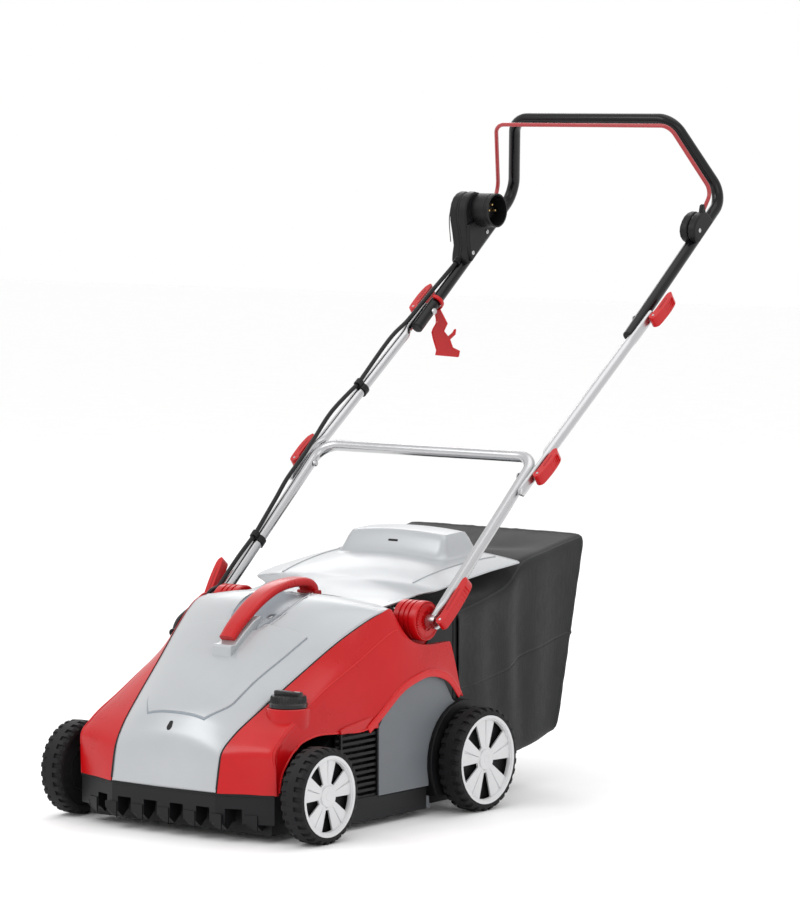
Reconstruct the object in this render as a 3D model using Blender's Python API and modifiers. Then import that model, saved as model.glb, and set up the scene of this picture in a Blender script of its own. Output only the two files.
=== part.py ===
"""Electric lawn dethatcher with a folding handle and a fabric catcher bag.

Front of the machine faces -Y, the handle rises towards +Y, +X is the driver's right side, +Z is up.
The origin is on the ground, under the centre of the machine's box. Dimensions are in metres.
"""
import math

import bmesh
import bpy
from mathutils import Matrix, Vector

# Driving dimensions. Y is first counted from the front axle, and Y_SHIFT moves all of it onto the origin.
GAP = 0.0003
WORK_W = 0.380
WALL = 0.0045
SHELL = 0.0025
FRONT_R = 0.079
REAR_R = 0.088
TYRE_W = 0.0424
TRACK_OUT = 0.279
REAR_AXLE = (0.433, REAR_R)
FRONT_AXLE = (0.0, FRONT_R)
AXLE_R = 0.005
ROLLER = (0.150, 0.080)
ROLLER_TIP_R = 0.068
TUNNEL_R = 0.080
MOTOR = (0.165, 0.222)
MOTOR_R = 0.047
TUBE_R = 0.010
HANDLE_R = 0.0108
INNER_X = 0.2345
OUTER_X = 0.2475
PRESSED = 0.0055
PIVOT = (0.338, 0.329)
PIVOT_R = 0.034
CROSSBAR = (0.634, 0.586)
MID_REACH = 0.345
UPPER_JOINT = (0.950, 0.8120)
HANDLE_BEND = (1.216, 1.024)
HANDLE_TOP = (1.136, 1.1646)
HANDLE_TOP_X = 0.1752
BAIL_PIVOT = (1.1385, 0.9850)
BAIL_R = 0.0038
FLAP_HINGE = (0.325, 0.3465)
KNOB = (0.172, 0.027)
CABLE_R = 0.0040
BOLT_R = 0.0030
Y_SHIFT = -0.56315


def heading(start, end):
    return math.atan2(end[1] - start[1], end[0] - start[0])


def along(start, angle, distance):
    return (start[0] + distance * math.cos(angle), start[1] + distance * math.sin(angle))


LOWER_ANGLE = heading(PIVOT, CROSSBAR)
MID_JOINT = along(PIVOT, LOWER_ANGLE, MID_REACH)
MID_ANGLE = heading(MID_JOINT, UPPER_JOINT)
UPPER_ANGLE = heading(UPPER_JOINT, HANDLE_BEND)

COLOURS = {
    "silver_shell": ((0.62, 0.63, 0.64), 0.34, 0.35),
    "red_shell": ((0.62, 0.02, 0.02), 0.28, 0.0),
    "black_plastic": ((0.02, 0.02, 0.022), 0.5, 0.0),
    "grey_plastic": ((0.17, 0.18, 0.18), 0.55, 0.0),
    "motor_metal": ((0.30, 0.30, 0.31), 0.5, 1.0),
    "rubber": ((0.03, 0.03, 0.03), 0.8, 0.0),
    "white_rim": ((0.72, 0.72, 0.73), 0.35, 0.0),
    "bare_tube": ((0.72, 0.72, 0.72), 0.25, 1.0),
    "black_tube": ((0.015, 0.015, 0.015), 0.3, 0.0),
    "steel": ((0.55, 0.55, 0.55), 0.35, 1.0),
    "bag_fabric": ((0.03, 0.03, 0.033), 0.9, 0.0),
    "belt_rubber": ((0.02, 0.02, 0.02), 0.7, 0.0),
    "red_rod": ((0.45, 0.02, 0.02), 0.35, 0.0),
}


def clear_scene():
    for obj in list(bpy.data.objects):
        bpy.data.objects.remove(obj, do_unlink=True)


def collection(name, hidden=False):
    made = bpy.data.collections.new(name)
    bpy.context.scene.collection.children.link(made)
    made.hide_render = hidden
    return made


def material(name):
    found = bpy.data.materials.get(name)
    if found:
        return found
    colour, roughness, metallic = COLOURS[name]
    made = bpy.data.materials.new(name)
    made.use_nodes = True
    shader = made.node_tree.nodes["Principled BSDF"]
    shader.inputs["Base Color"].default_value = (*colour, 1.0)
    shader.inputs["Roughness"].default_value = roughness
    shader.inputs["Metallic"].default_value = metallic
    return made


clear_scene()
PARTS = collection("lawn_dethatcher")
CUTTERS = collection("cutters", hidden=True)


def put(name, data, mat, location=(0.0, 0.0, 0.0)):
    """An object in the parts collection, or in the cutters one where it has no material."""
    obj = bpy.data.objects.new(name, data)
    obj.location = location
    if mat:
        data.materials.clear()
        data.materials.append(material(mat))
        PARTS.objects.link(obj)
    else:
        CUTTERS.objects.link(obj)
        obj.hide_render = True
        obj.display_type = "WIRE"
    return obj


def smooth(obj, angle=40):
    obj.data.shade_smooth()
    obj.data.set_sharp_from_angle(angle=math.radians(angle))
    return obj


def from_bmesh(name, bm, mat, location=(0.0, 0.0, 0.0)):
    bmesh.ops.recalc_face_normals(bm, faces=bm.faces)
    mesh = bpy.data.meshes.new(name)
    bm.to_mesh(mesh)
    bm.free()
    return put(name, mesh, mat, location)


def box(name, low, high, mat=None, bevel=0.0):
    """An axis-parallel box from its two corners, with rounded edges where bevel is given."""
    centre = [(a + b) / 2 for a, b in zip(low, high)]
    bm = bmesh.new()
    bmesh.ops.create_cube(bm, size=1.0)
    bmesh.ops.scale(bm, vec=[b - a for a, b in zip(low, high)], verts=bm.verts)
    obj = from_bmesh(name, bm, mat, centre)
    if bevel:
        add_bevel(obj, bevel)
    return obj


def add_bevel(obj, width, segments=2, angle=35):
    mod = obj.modifiers.new("Bevel", "BEVEL")
    mod.width = width
    mod.segments = segments
    mod.limit_method = "ANGLE"
    mod.angle_limit = math.radians(angle)


ALONG = {
    "X": Matrix.Rotation(math.pi / 2, 4, "Y"),
    "Y": Matrix.Rotation(-math.pi / 2, 4, "X"),
    "Z": Matrix.Identity(4),
}


def rod(name, centre, radius, length, axis="X", mat=None, sides=24, top=None):
    """A cylinder, or a cone where the far radius differs, centred on a point and lying along an axis."""
    bm = bmesh.new()
    bmesh.ops.create_cone(
        bm, cap_ends=True, segments=sides, radius1=radius,
        radius2=radius if top is None else top, depth=length, matrix=ALONG[axis],
    )
    return smooth(from_bmesh(name, bm, mat, centre))


def join(obj, *others, operation="UNION"):
    """A Boolean for each further object, which becomes a hidden cutter."""
    for other in others:
        for group in list(other.users_collection):
            group.objects.unlink(other)
        CUTTERS.objects.link(other)
        other.hide_render = True
        other.display_type = "WIRE"
        mod = obj.modifiers.new(operation.title(), "BOOLEAN")
        mod.operation = operation
        mod.solver = "EXACT"
        mod.object = other
    return obj


def cut(obj, *others):
    return join(obj, *others, operation="DIFFERENCE")


def apply_all(obj):
    """The object with its modifiers applied, keeping its name and place."""
    bpy.context.view_layer.update()
    graph = bpy.context.evaluated_depsgraph_get()
    mesh = bpy.data.meshes.new_from_object(obj.evaluated_get(graph))
    obj.modifiers.clear()
    obj.data = mesh
    return obj


def curve_to_mesh(obj):
    """A mesh object in place of a curve one, with its loose caps welded."""
    bpy.context.view_layer.update()
    mesh = bpy.data.meshes.new_from_object(obj.evaluated_get(bpy.context.evaluated_depsgraph_get()))
    bm = bmesh.new()
    bm.from_mesh(mesh)
    bmesh.ops.remove_doubles(bm, verts=bm.verts, dist=0.00001)
    bmesh.ops.recalc_face_normals(bm, faces=bm.faces)
    bm.to_mesh(mesh)
    bm.free()
    name, place, groups = obj.name, obj.matrix_world.copy(), list(obj.users_collection)
    hidden, mats = obj.hide_render, list(obj.data.materials)
    bpy.data.objects.remove(obj, do_unlink=True)
    made = bpy.data.objects.new(name, mesh)
    made.matrix_world = place
    made.hide_render = hidden
    mesh.materials.clear()
    for mat in mats:
        mesh.materials.append(mat)
    for group in groups:
        group.objects.link(made)
    if hidden:
        made.display_type = "WIRE"
    return made


# An outline's own two axes, for a plate that is square to X, Y or Z.
FACING = {
    "X": Matrix(((0, 0, 1), (1, 0, 0), (0, 1, 0))).to_4x4(),
    "Y": Matrix(((1, 0, 0), (0, 0, -1), (0, 1, 0))).to_4x4(),
    "Z": Matrix.Identity(4),
}


def plate(name, outline, middle, thickness, facing="X", mat=None, holes=()):
    """A flat outline given in (y, z), (x, z) or (x, y), extruded either side of its middle plane."""
    data = bpy.data.curves.new(name, "CURVE")
    data.dimensions = "2D"
    data.fill_mode = "BOTH"
    data.extrude = thickness / 2
    for loop in (outline, *holes):
        spline = data.splines.new("POLY")
        spline.points.add(len(loop) - 1)
        for point, (u, v) in zip(spline.points, loop):
            point.co = (u, v, 0.0, 1.0)
        spline.use_cyclic_u = True
    obj = put(name, data, mat)
    turn = FACING[facing].copy()
    turn["XYZ".index(facing)][3] = middle
    obj.matrix_world = turn
    return curve_to_mesh(obj)


def wire(name, points, radius, mat=None, resolution=4):
    """A round bar along a list of points."""
    data = bpy.data.curves.new(name, "CURVE")
    data.dimensions = "3D"
    data.bevel_depth = radius
    data.bevel_resolution = resolution
    data.use_fill_caps = True
    spline = data.splines.new("POLY")
    spline.points.add(len(points) - 1)
    for point, place in zip(spline.points, points):
        point.co = (*place, 1.0)
    return put(name, data, mat)


def rounded_path(corners, radius, steps=5):
    """A path through the corners with each inner corner turned into an arc."""
    corners = [Vector(c) for c in corners]
    path = [corners[0]]
    for before, at, after in zip(corners, corners[1:], corners[2:]):
        a, b = (before - at).normalized(), (after - at).normalized()
        half = a.angle(b) / 2
        reach = min(radius / math.tan(half), (before - at).length * 0.49, (after - at).length * 0.49)
        middle = at + (a + b).normalized() * (reach / math.cos(half))
        first, last = at + a * reach - middle, at + b * reach - middle
        turn = first.angle(last)
        for k in range(steps + 1):
            t = k / steps
            arm = first * math.sin((1 - t) * turn) + last * math.sin(t * turn)
            path.append(middle + arm / math.sin(turn))
    path.append(corners[-1])
    return path


def smooth_path(points, spacing):
    """Points at an even spacing along a smooth curve through the given ones."""
    points = [Vector(p) for p in points]
    ends = [points[0] * 2 - points[1], *points, points[-1] * 2 - points[-2]]
    fine = []
    for p0, p1, p2, p3 in zip(ends, ends[1:], ends[2:], ends[3:]):
        for k in range(20):
            t = k / 20
            fine.append(0.5 * (2 * p1 + (p2 - p0) * t + (2 * p0 - 5 * p1 + 4 * p2 - p3) * t * t
                               + (3 * p1 - p0 - 3 * p2 + p3) * t ** 3))
    fine.append(points[-1])
    path, run = [fine[0]], 0.0
    for a, b in zip(fine, fine[1:]):
        run += (b - a).length
        if run >= spacing:
            path.append(b)
            run = 0.0
    if (path[-1] - fine[-1]).length < spacing / 2:
        path.pop()
    return path + [fine[-1]]


def loft(name, rows, mat, thickness=SHELL, side=-1.0):
    """A shell through rows of points, thickened to its inner side."""
    bm = bmesh.new()
    grid = [[bm.verts.new(p) for p in row] for row in rows]
    for low, high in zip(grid, grid[1:]):
        for a, b, c, d in zip(low, low[1:], high[1:], high):
            bm.faces.new((a, b, c, d))
    mesh = bpy.data.meshes.new(name)
    bm.to_mesh(mesh)
    bm.free()
    obj = put(name, mesh, mat)
    mod = obj.modifiers.new("Solidify", "SOLIDIFY")
    mod.thickness = thickness
    mod.offset = side
    mod.use_even_offset = True
    return smooth(obj)


def turned(name, profile, mat, centre, steps=28):
    """A ring or a disc about the X axis, from (radius, x) points that run down its outer side."""
    mesh = bpy.data.meshes.new(name)
    points = [(r, 0.0, x) for r, x in profile]
    edges = [(k, (k + 1) % len(points)) for k in range(len(points))]
    mesh.from_pydata(points, edges, [])
    obj = put(name, mesh, mat)
    mod = obj.modifiers.new("Screw", "SCREW")
    mod.steps = mod.render_steps = steps
    mod.use_merge_vertices = True
    mod.merge_threshold = 0.0001
    mod.use_smooth_shade = True
    obj.matrix_world = Matrix.Translation(centre) @ ALONG["X"]
    return obj


def mirrored(obj, name):
    """The left-hand copy of a right-hand piece, which shares its mesh."""
    apply_all(obj)
    other = obj.copy()
    other.name = name
    for group in obj.users_collection:
        group.objects.link(other)
    other.matrix_world = Matrix.Scale(-1.0, 4, Vector((1, 0, 0))) @ obj.matrix_world
    return other


def arc(centre, radius, start, end, steps):
    """Points of an arc from one angle to another, in degrees."""
    angles = [math.radians(start + (end - start) * k / steps) for k in range(steps + 1)]
    return [(centre[0] + radius * math.cos(a), centre[1] + radius * math.sin(a)) for a in angles]


# ---------------------------------------------------------------- lower housing and running gear
BASE_FRONT = -0.045
BASE_REAR = 0.446
SIDE_OUT = WORK_W / 2 + WALL
SKIRT_X = 0.2225
DECK_Z = 0.104
MOUTH_TOP = 0.330
COMB_TOP = 0.0780
COMB_SLOT = (0.031, 0.055)
COMB_TOOTH = 0.019
COMB_PITCH = 0.056
FENDER_R = 0.0985
FRONT_PLAN = [(0.2065, -0.0525), (0.1105, -0.0870), (-0.1105, -0.0870), (-0.2065, -0.0525)]


def base_outline(inset):
    """Side outline of the lower housing: front deck, roller tunnel and the chute that rises to the rear mouth."""
    r = TUNNEL_R + WALL - inset
    front, deck = BASE_FRONT + inset, DECK_Z - inset
    reach = math.degrees(math.asin((deck - ROLLER[1]) / r))
    shape = [(front, 0.012 - inset), (front, deck)]
    shape += arc(ROLLER, r, 180 - reach, 80, 8)
    shape += [(0.255, 0.187 - inset), (0.345, 0.262 - inset), (0.400, 0.310 - inset)]
    rear = BASE_REAR + 2 * inset
    return shape + [(rear, MOUTH_TOP - inset), (rear, 0.012 - inset)]


def comb_front():
    """The front bar with its row of slots and the pointed teeth below it."""
    back = [(x, y + 0.028) for x, y in reversed(FRONT_PLAN)]
    bar = plate("comb_bar", FRONT_PLAN + back, (COMB_TOP + COMB_SLOT[0]) / 2, COMB_TOP - COMB_SLOT[0], "Z")
    for k in range(7):
        x = (k - 3) * COMB_PITCH
        y = -0.0865 if abs(x) < 0.12 else -0.0865 + (abs(x) - 0.1105) * 0.36
        tooth = [(y + 0.001, 0.040), (y + 0.001, 0.030), (y + 0.014, COMB_TOOTH), (y + 0.027, 0.030),
                 (y + 0.027, 0.040)]
        join(bar, plate(f"comb_tooth_{k}", tooth, x, 0.024, "X"))
    for k in range(6):
        x = (k - 2.5) * COMB_PITCH
        low, high = COMB_SLOT
        cut(bar, box(f"comb_slot_{k}", (x - 0.014, -0.12, low - 0.006), (x + 0.014, -0.0, high)))
    return apply_all(bar)


def side_skirt(sign):
    """The dark sill outside the side wall, and the round inner fender beside the rear wheel."""
    sill = [(SIDE_OUT - 0.002, 0.012), (SKIRT_X, 0.012), (SKIRT_X, 0.0485), (SKIRT_X - 0.004, 0.0485),
            (SKIRT_X - 0.004, 0.016), (SIDE_OUT - 0.002, 0.016)]
    channel = plate("sill", [(sign * x, z) for x, z in sill], 0.2225, 0.225, "Y")
    lid = box("sill_end", (SIDE_OUT - 0.002, 0.110, 0.012), (SKIRT_X, 0.114, 0.0485))
    lid.location.x *= sign
    wheel = arc(REAR_AXLE, FENDER_R, 90, 216, 10) + [(0.432, 0.030), (0.446, 0.030), (0.446, 0.186)]
    fender = plate("fender", wheel, sign * (SIDE_OUT - 0.002 + 0.2325) / 2, 0.2325 - SIDE_OUT + 0.002, "X")
    return channel, lid, fender


def base_housing():
    half = SIDE_OUT
    base = plate("base_housing", base_outline(0.0), 0.0, 2 * half, "X", "black_plastic")
    inner = plate("base_inner", base_outline(WALL), 0.0, WORK_W, "X")
    cut(base, inner)
    join(base, comb_front())
    for sign in (-1, 1):
        join(base, *side_skirt(sign))
        side = sign * (half - WALL / 2)
        cut(base, rod(f"seat_{sign}", (side, *ROLLER), 0.0220 + GAP, 4 * WALL, sides=32))
        cut(base, box(f"axle_slot_{sign}", (side - 0.012, -0.0062, 0.060), (side + 0.012, 0.0062, 0.094)))
        cut(base, rod(f"axle_hole_{sign}", (side + sign * 0.02, *REAR_AXLE), AXLE_R + GAP, 0.09, sides=16))
    return base


def wheel(name, sign, axle, radius, rim_radius):
    """A rubber tyre on a five-spoke rim. Both turn about the axle."""
    middle = sign * (TRACK_OUT - TYRE_W / 2)
    half = TYRE_W / 2
    seat, edge = rim_radius, 0.004
    tyre = [(radius - edge, half), (radius, half - edge), (radius, -half + edge), (radius - edge, -half),
            (seat + GAP, -half + 0.002), (seat + GAP, half - 0.001)]
    turned("tyre_" + name, tyre, "rubber", (middle, *axle))
    face = sign * (half - 0.004)
    hub = AXLE_R + GAP
    back, dish = -sign * (half - 0.003), face - sign * 0.003
    profile = [(seat - GAP, face + sign * 0.003), (seat - GAP, back), (seat - 0.0045, back), (seat - 0.0045, dish),
               (0.014, dish), (0.014, back), (hub, back), (hub, face), (0.016, face)]
    if sign < 0:
        profile = profile[::-1]
    rim = turned("rim_" + name, profile, "white_rim", (middle, *axle))
    for k in range(5):
        a = math.radians(90 + 36 + 72 * k)
        inner, outer = 0.030, seat - 0.014
        wide = outer * 0.38
        shape = [(inner, -0.004), (outer, -wide / 2), (outer, wide / 2), (inner, 0.004)]
        turn = [(axle[0] + u * math.cos(a) - v * math.sin(a), axle[1] + u * math.sin(a) + v * math.cos(a))
                for u, v in shape]
        cut(rim, plate(f"window_{name}_{k}", turn, middle + face, 0.03, "X"))
    return rim


def front_axle():
    """The cross rod that the depth knob raises and lowers, with a shoulder inside each wheel."""
    length = 2 * (TRACK_OUT - 0.008)
    axle = rod("front_axle", (0.0, *FRONT_AXLE), AXLE_R, length, mat="steel", sides=16)
    for sign in (-1, 1):
        x = sign * (TRACK_OUT - TYRE_W - 0.002)
        join(axle, rod(f"front_shoulder_{sign}", (x, *FRONT_AXLE), 0.0085, 0.003, sides=16))
    return axle


def rear_axle():
    return rod("rear_axle", (0.0, *REAR_AXLE), AXLE_R, 2 * (TRACK_OUT - 0.008), mat="steel", sides=16)


# ---------------------------------------------------------------- working roller and its drive
BLADES = 14
BELT_X = (SIDE_OUT + 0.0020, SIDE_OUT + 0.0095)
ROLLER_PULLEY_R = 0.033
MOTOR_PULLEY_R = 0.0115
BELT_T = 0.0025


def blade_outline(turn):
    """A double-ended blade with hooked tips, turned about the roller's axis."""
    half = [(0.012, -0.010), (ROLLER_TIP_R - 0.003, 0.000), (ROLLER_TIP_R, 0.019), (0.054, 0.008), (0.010, 0.010)]
    shape = []
    for a in (turn, turn + math.pi):
        c, s = math.cos(a), math.sin(a)
        shape += [(ROLLER[0] + u * c - v * s, ROLLER[1] + u * s + v * c) for u, v in half]
    return shape


def tine_roller():
    pulley_end, free_end = -(BELT_X[1] + 0.0002), SIDE_OUT + 0.002
    middle = (pulley_end + free_end) / 2
    roller = rod("tine_roller", (middle, *ROLLER), 0.010, free_end - pulley_end, mat="steel", sides=20)
    core = rod("roller_core", (0.0, *ROLLER), 0.016, WORK_W - 0.012, sides=20)
    join(roller, core)
    for k in range(BLADES):
        x = (k - (BLADES - 1) / 2) * 0.0268
        join(roller, plate(f"blade_{k}", blade_outline(math.radians(51.4 * k + 7)), x, 0.0022, "X"))
    return roller


def bearing(name, sign):
    ring = [(0.0220, 0.003), (0.0220, -0.003), (0.010 + GAP, -0.003), (0.010 + GAP, 0.003)]
    middle = sign * (SIDE_OUT - WALL / 2)
    return turned(name, ring, "steel", (middle, *ROLLER), steps=20)


def pulley(name, centre, radius, bore, mat="black_plastic"):
    half = (BELT_X[1] - BELT_X[0]) / 2
    ring = [(radius, half), (radius, -half), (bore, -half), (bore, half)]
    return turned(name, ring, mat, (-(BELT_X[0] + BELT_X[1]) / 2, *centre), steps=28)


def armature():
    """The motor's shaft with its small belt pulley at one end and the cooling fan at the other."""
    left, right = -BELT_X[1], 0.150
    shaft = rod("armature", ((left + right) / 2, *MOTOR), 0.0045, right - left, mat="steel", sides=16)
    middle = -(BELT_X[0] + BELT_X[1]) / 2
    join(shaft, rod("pinion", (middle, *MOTOR), MOTOR_PULLEY_R, BELT_X[1] - BELT_X[0] - 0.001, sides=20))
    join(shaft, rod("fan_hub", (0.112, *MOTOR), 0.012, 0.020, sides=18))
    for k in range(4):
        fin = box(f"fan_fin_{k}", (0.104, -0.001, -0.036), (0.120, 0.001, 0.036))
        fin.location = (0.112, *MOTOR)
        fin.rotation_euler.x = math.radians(45 * k)
        join(shaft, fin)
    return shaft


def belt_loop(clearance):
    """Outline of the belt round both pulleys, at a clearance from their running faces."""
    big, small = ROLLER_PULLEY_R + clearance, MOTOR_PULLEY_R + clearance
    dy, dz = MOTOR[0] - ROLLER[0], MOTOR[1] - ROLLER[1]
    span = math.hypot(dy, dz)
    lean = math.degrees(math.atan2(dz, dy))
    side = math.degrees(math.acos((big - small) / span))
    lower = arc(ROLLER, big, lean + side, lean + 360 - side, 18)
    upper = arc(MOTOR, small, lean - side, lean + side, 10)
    return lower + upper


def drive_belt():
    middle = -(BELT_X[0] + BELT_X[1]) / 2
    width = BELT_X[1] - BELT_X[0] - 0.0030
    near = 0.0004
    return plate("drive_belt", belt_loop(near + BELT_T), middle, width, "X", "belt_rubber", [belt_loop(near)])


def motor_housing():
    """The motor's can with its two feet, bored for the armature shaft."""
    left, right = -0.150, 0.085
    can = rod("motor_housing", ((left + right) / 2, *MOTOR), MOTOR_R, right - left, mat="motor_metal", sides=28)
    deck = ROLLER[1] + TUNNEL_R + WALL
    for k, x in enumerate((-0.125, 0.055)):
        join(can, box(f"motor_foot_{k}", (x - 0.012, 0.139, deck + 0.0085), (x + 0.012, 0.191, MOTOR[1] - 0.01)))
    return cut(can, rod("motor_bore", ((left + right) / 2, *MOTOR), 0.0050, 0.3, sides=16))


# ---------------------------------------------------------------- covers
# Side edge of the centre hood: y, z and half width, from the front lip to the rear edge.
HOOD_EDGE = [(-0.0870, 0.0795, 0.1105), (-0.0785, 0.126, 0.1107), (-0.0705, 0.148, 0.111), (-0.0480, 0.171, 0.117),
             (-0.0255, 0.188, 0.123), (0.019, 0.218, 0.135), (0.083, 0.2605, 0.1515), (0.151, 0.305, 0.171),
             (0.205, 0.335, 0.187), (0.240, 0.349, 0.195), (0.268, 0.353, 0.197)]
# Crown of the hood on its centre line, at the same stations.
HOOD_CROWN = [(-0.0880, 0.0795), (-0.0850, 0.132), (-0.0790, 0.162), (-0.0640, 0.186), (-0.0450, 0.2065),
              (0.0, 0.2375), (0.066, 0.281), (0.132, 0.327), (0.188, 0.360), (0.238, 0.372), (0.306, 0.3625)]
HOOD_COLUMNS = (-1.0, -0.86, -0.66, -0.42, -0.18, 0.0, 0.18, 0.42, 0.66, 0.86, 1.0)
DISH = (0.195, 0.085, 0.058, 0.030)


def hood():
    rows = []
    for (ye, ze, w), (yc, zc) in zip(HOOD_EDGE, HOOD_CROWN):
        row = []
        for t in HOOD_COLUMNS:
            bow = 1 - abs(t) ** 2.6
            x, y, z = w * t, ye + (yc - ye) * bow, ze + (zc - ze) * bow
            near = 1 - ((y - DISH[0]) / DISH[1]) ** 2 - (x / DISH[2]) ** 2
            z -= DISH[3] * max(0.0, near) ** 0.8
            row.append((x, y, z))
        rows.append(row)
    return loft("hood", rows, "silver_shell")


# Sections of a side cover: inner edge beside the hood, outer crease, and lower edge, front to rear.
COVER_GAP = 0.0034
COVER_CREASE = [(0.2062, -0.0530, 0.0790), (0.2060, -0.0550, 0.122), (0.2035, -0.0560, 0.149), (0.2015, -0.036, 0.168),
                (0.2000, -0.0120, 0.184), (0.1980, 0.030, 0.206), (0.1985, 0.095, 0.240), (0.2030, 0.165, 0.272),
                (0.2080, 0.218, 0.300), (0.2110, 0.250, 0.316), (0.2140, 0.272, 0.318), (0.2190, 0.305, 0.296),
                (0.2225, 0.345, 0.287), (0.2240, 0.401, 0.286)]
COVER_LOWER = [(0.2085, -0.0440, 0.0790), (0.2100, -0.0380, 0.112), (0.2120, -0.0180, 0.140), (0.2130, -0.0040, 0.151),
               (0.2140, 0.0120, 0.161), (0.2160, 0.052, 0.168), (0.2190, 0.100, 0.166), (0.2250, 0.172, 0.166),
               (0.2285, 0.222, 0.203), (0.2300, 0.252, 0.223), (0.2305, 0.285, 0.238), (0.2310, 0.335, 0.2475),
               (0.2310, 0.385, 0.234), (0.2310, 0.424, 0.1950)]
COVER_TOP_REAR = [(0.2050, 0.290, 0.302), (0.2080, 0.335, 0.2890), (0.2100, 0.400, 0.2880)]
BOSS_R = 0.036


def side_cover():
    rows = []
    inner = [(w + COVER_GAP, y, z - 0.0005) for y, z, w in HOOD_EDGE] + COVER_TOP_REAR
    for a, b, c in zip(inner, COVER_CREASE, COVER_LOWER):
        a, b, c = Vector(a), Vector(b), Vector(c)
        swell = Vector((0.0015, 0.0, 0.002))
        rows.append([a, a.lerp(b, 0.5) + swell * 0.6, b, b.lerp(c, 0.35) + swell * 0.5, b.lerp(c, 0.7), c])
    return rows


def side_covers():
    """Red side covers. The right one carries the round seat of the depth knob."""
    right = loft("side_cover_right", side_cover(), "red_shell")
    mirrored(right, "side_cover_left")
    seat = rod("knob_seat", (KNOB[0], KNOB[1], 0.193), BOSS_R, 0.040, "Z", sides=28)
    hollow = rod("knob_hollow", (KNOB[0], KNOB[1], 0.188), BOSS_R - 0.004, 0.043, "Z", sides=28)
    shaft = rod("knob_way", (KNOB[0], KNOB[1], 0.205), 0.0065, 0.060, "Z", sides=16)
    cut(right, rod("seat_clear", (KNOB[0], KNOB[1], 0.200), BOSS_R - 0.002, 0.10, "Z", sides=28))
    cut(seat, hollow)
    join(right, seat)
    cut(right, shaft)
    return right


ARCH = [(0.2010, 0.0505), (0.2010, 0.1655), (0.2190, 0.1890), (0.2500, 0.2120), (0.2850, 0.2290), (0.3350, 0.2385),
        (0.3800, 0.2260), (0.4050, 0.1900)]


def side_panel():
    """Grey lower side panel: arched on top and cut away round the rear wheel's fender."""
    well = arc(REAR_AXLE, FENDER_R + 0.0008, 102, 197, 8)
    shape = ARCH + [p for p in well if p[1] < 0.19] + [(0.338, 0.0505)]
    return plate("side_panel_right", shape, 0.2235, 0.003, "X", "grey_plastic")


FINS = 11


def vent_grille():
    """A back wall with level fins, one above the other."""
    low, high, root, tip = 0.0505, 0.1635, 0.2075, 0.2205
    pitch = (high - low) / FINS
    shape = [(root - 0.0015, high), (root - 0.0015, low)]
    for k in range(FINS):
        z = low + k * pitch
        shape += [(tip, z), (tip, z + pitch * 0.45)]
        if k < FINS - 1:
            shape += [(root + 0.001, z + pitch * 0.55), (root + 0.001, z + pitch * 0.95)]
    shape += [(root, high)]
    return plate("vent_grille_right", shape, (0.105 + 0.1985) / 2, 0.1985 - 0.105, "Y", "black_plastic")


GRIP_PATH = [(0.0, 0.0790, 0.3080), (0.0, 0.1200, 0.3420), (0.0, 0.1900, 0.3790), (0.0, 0.2600, 0.3880),
             (0.0, 0.2980, 0.3800), (0.0, 0.3000, 0.3655)]


def carry_handle():
    """Broad red grip over the dished top of the hood: a bar swept along its path and flattened."""
    data = bpy.data.curves.new("grip_section", "CURVE")
    section = data.splines.new("POLY")
    half_w, half_t, r = 0.0185, 0.0080, 0.0045
    corners = []
    for cx, cy, start in ((half_w - r, half_t - r, 0), (-half_w + r, half_t - r, 90), (-half_w + r, -half_t + r, 180),
                          (half_w - r, -half_t + r, 270)):
        corners += arc((cx, cy), r, start, start + 90, 1)
    section.points.add(len(corners) - 1)
    for point, (u, v) in zip(section.points, corners):
        point.co = (u, v, 0.0, 1.0)
    section.use_cyclic_u = True
    shape = put("grip_section", data, None)
    grip = wire("carry_handle", rounded_path(GRIP_PATH, 0.030, 4), 0.001, "red_shell")
    grip.data.bevel_mode = "OBJECT"
    grip.data.bevel_object = shape
    grip.data.twist_mode = "Z_UP"
    return curve_to_mesh(grip)


def depth_knob():
    """Domed knob with a grip bar, on a stub shaft that goes down through its seat."""
    x, y = KNOB
    knob = rod("depth_knob", (x, y, 0.2245), 0.0310, 0.022, "Z", "black_plastic", sides=28, top=0.0270)
    join(knob, rod("knob_skirt", (x, y, 0.2155), 0.0315, 0.0035, "Z", sides=28))
    join(knob, rod("knob_stub", (x, y, 0.2000), 0.0055, 0.034, "Z", sides=16))
    for sign in (-1, 1):
        low = (x - 0.04, y + 0.0085 if sign > 0 else y - 0.04, 0.2225)
        high = (x + 0.04, y + 0.04 if sign > 0 else y - 0.0085, 0.2400)
        cut(knob, box(f"knob_side_{sign}", low, high))
    return knob


# ---------------------------------------------------------------- rear flap and catcher
FLAP_X = (0.0, 0.055, 0.100, 0.120, 0.150)
# Stations of the flap, front to rear: y, edge height, centre height, half width, hump, and how far its sides
# reach forward.
FLAP_ROWS = [
    (0.3145, 0.3510, 0.3630, 0.158, 0.0, 0.034), (0.3480, 0.3570, 0.3720, 0.160, 0.0, 0.014),
    (0.3840, 0.3650, 0.3840, 0.163, 0.0, 0.0), (0.4000, 0.3750, 0.3890, 0.198, 0.0, 0.0),
    (0.4500, 0.3840, 0.4030, 0.200, 0.0, 0.0), (0.5100, 0.3910, 0.4160, 0.200, 0.0, 0.0),
    (0.5530, 0.3960, 0.4200, 0.200, 0.036, 0.0), (0.6000, 0.4000, 0.4220, 0.200, 0.036, 0.0),
    (0.6340, 0.4030, 0.4200, 0.200, 0.006, 0.0), (0.6400, 0.3980, 0.4130, 0.200, 0.0, 0.0)]


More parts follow.
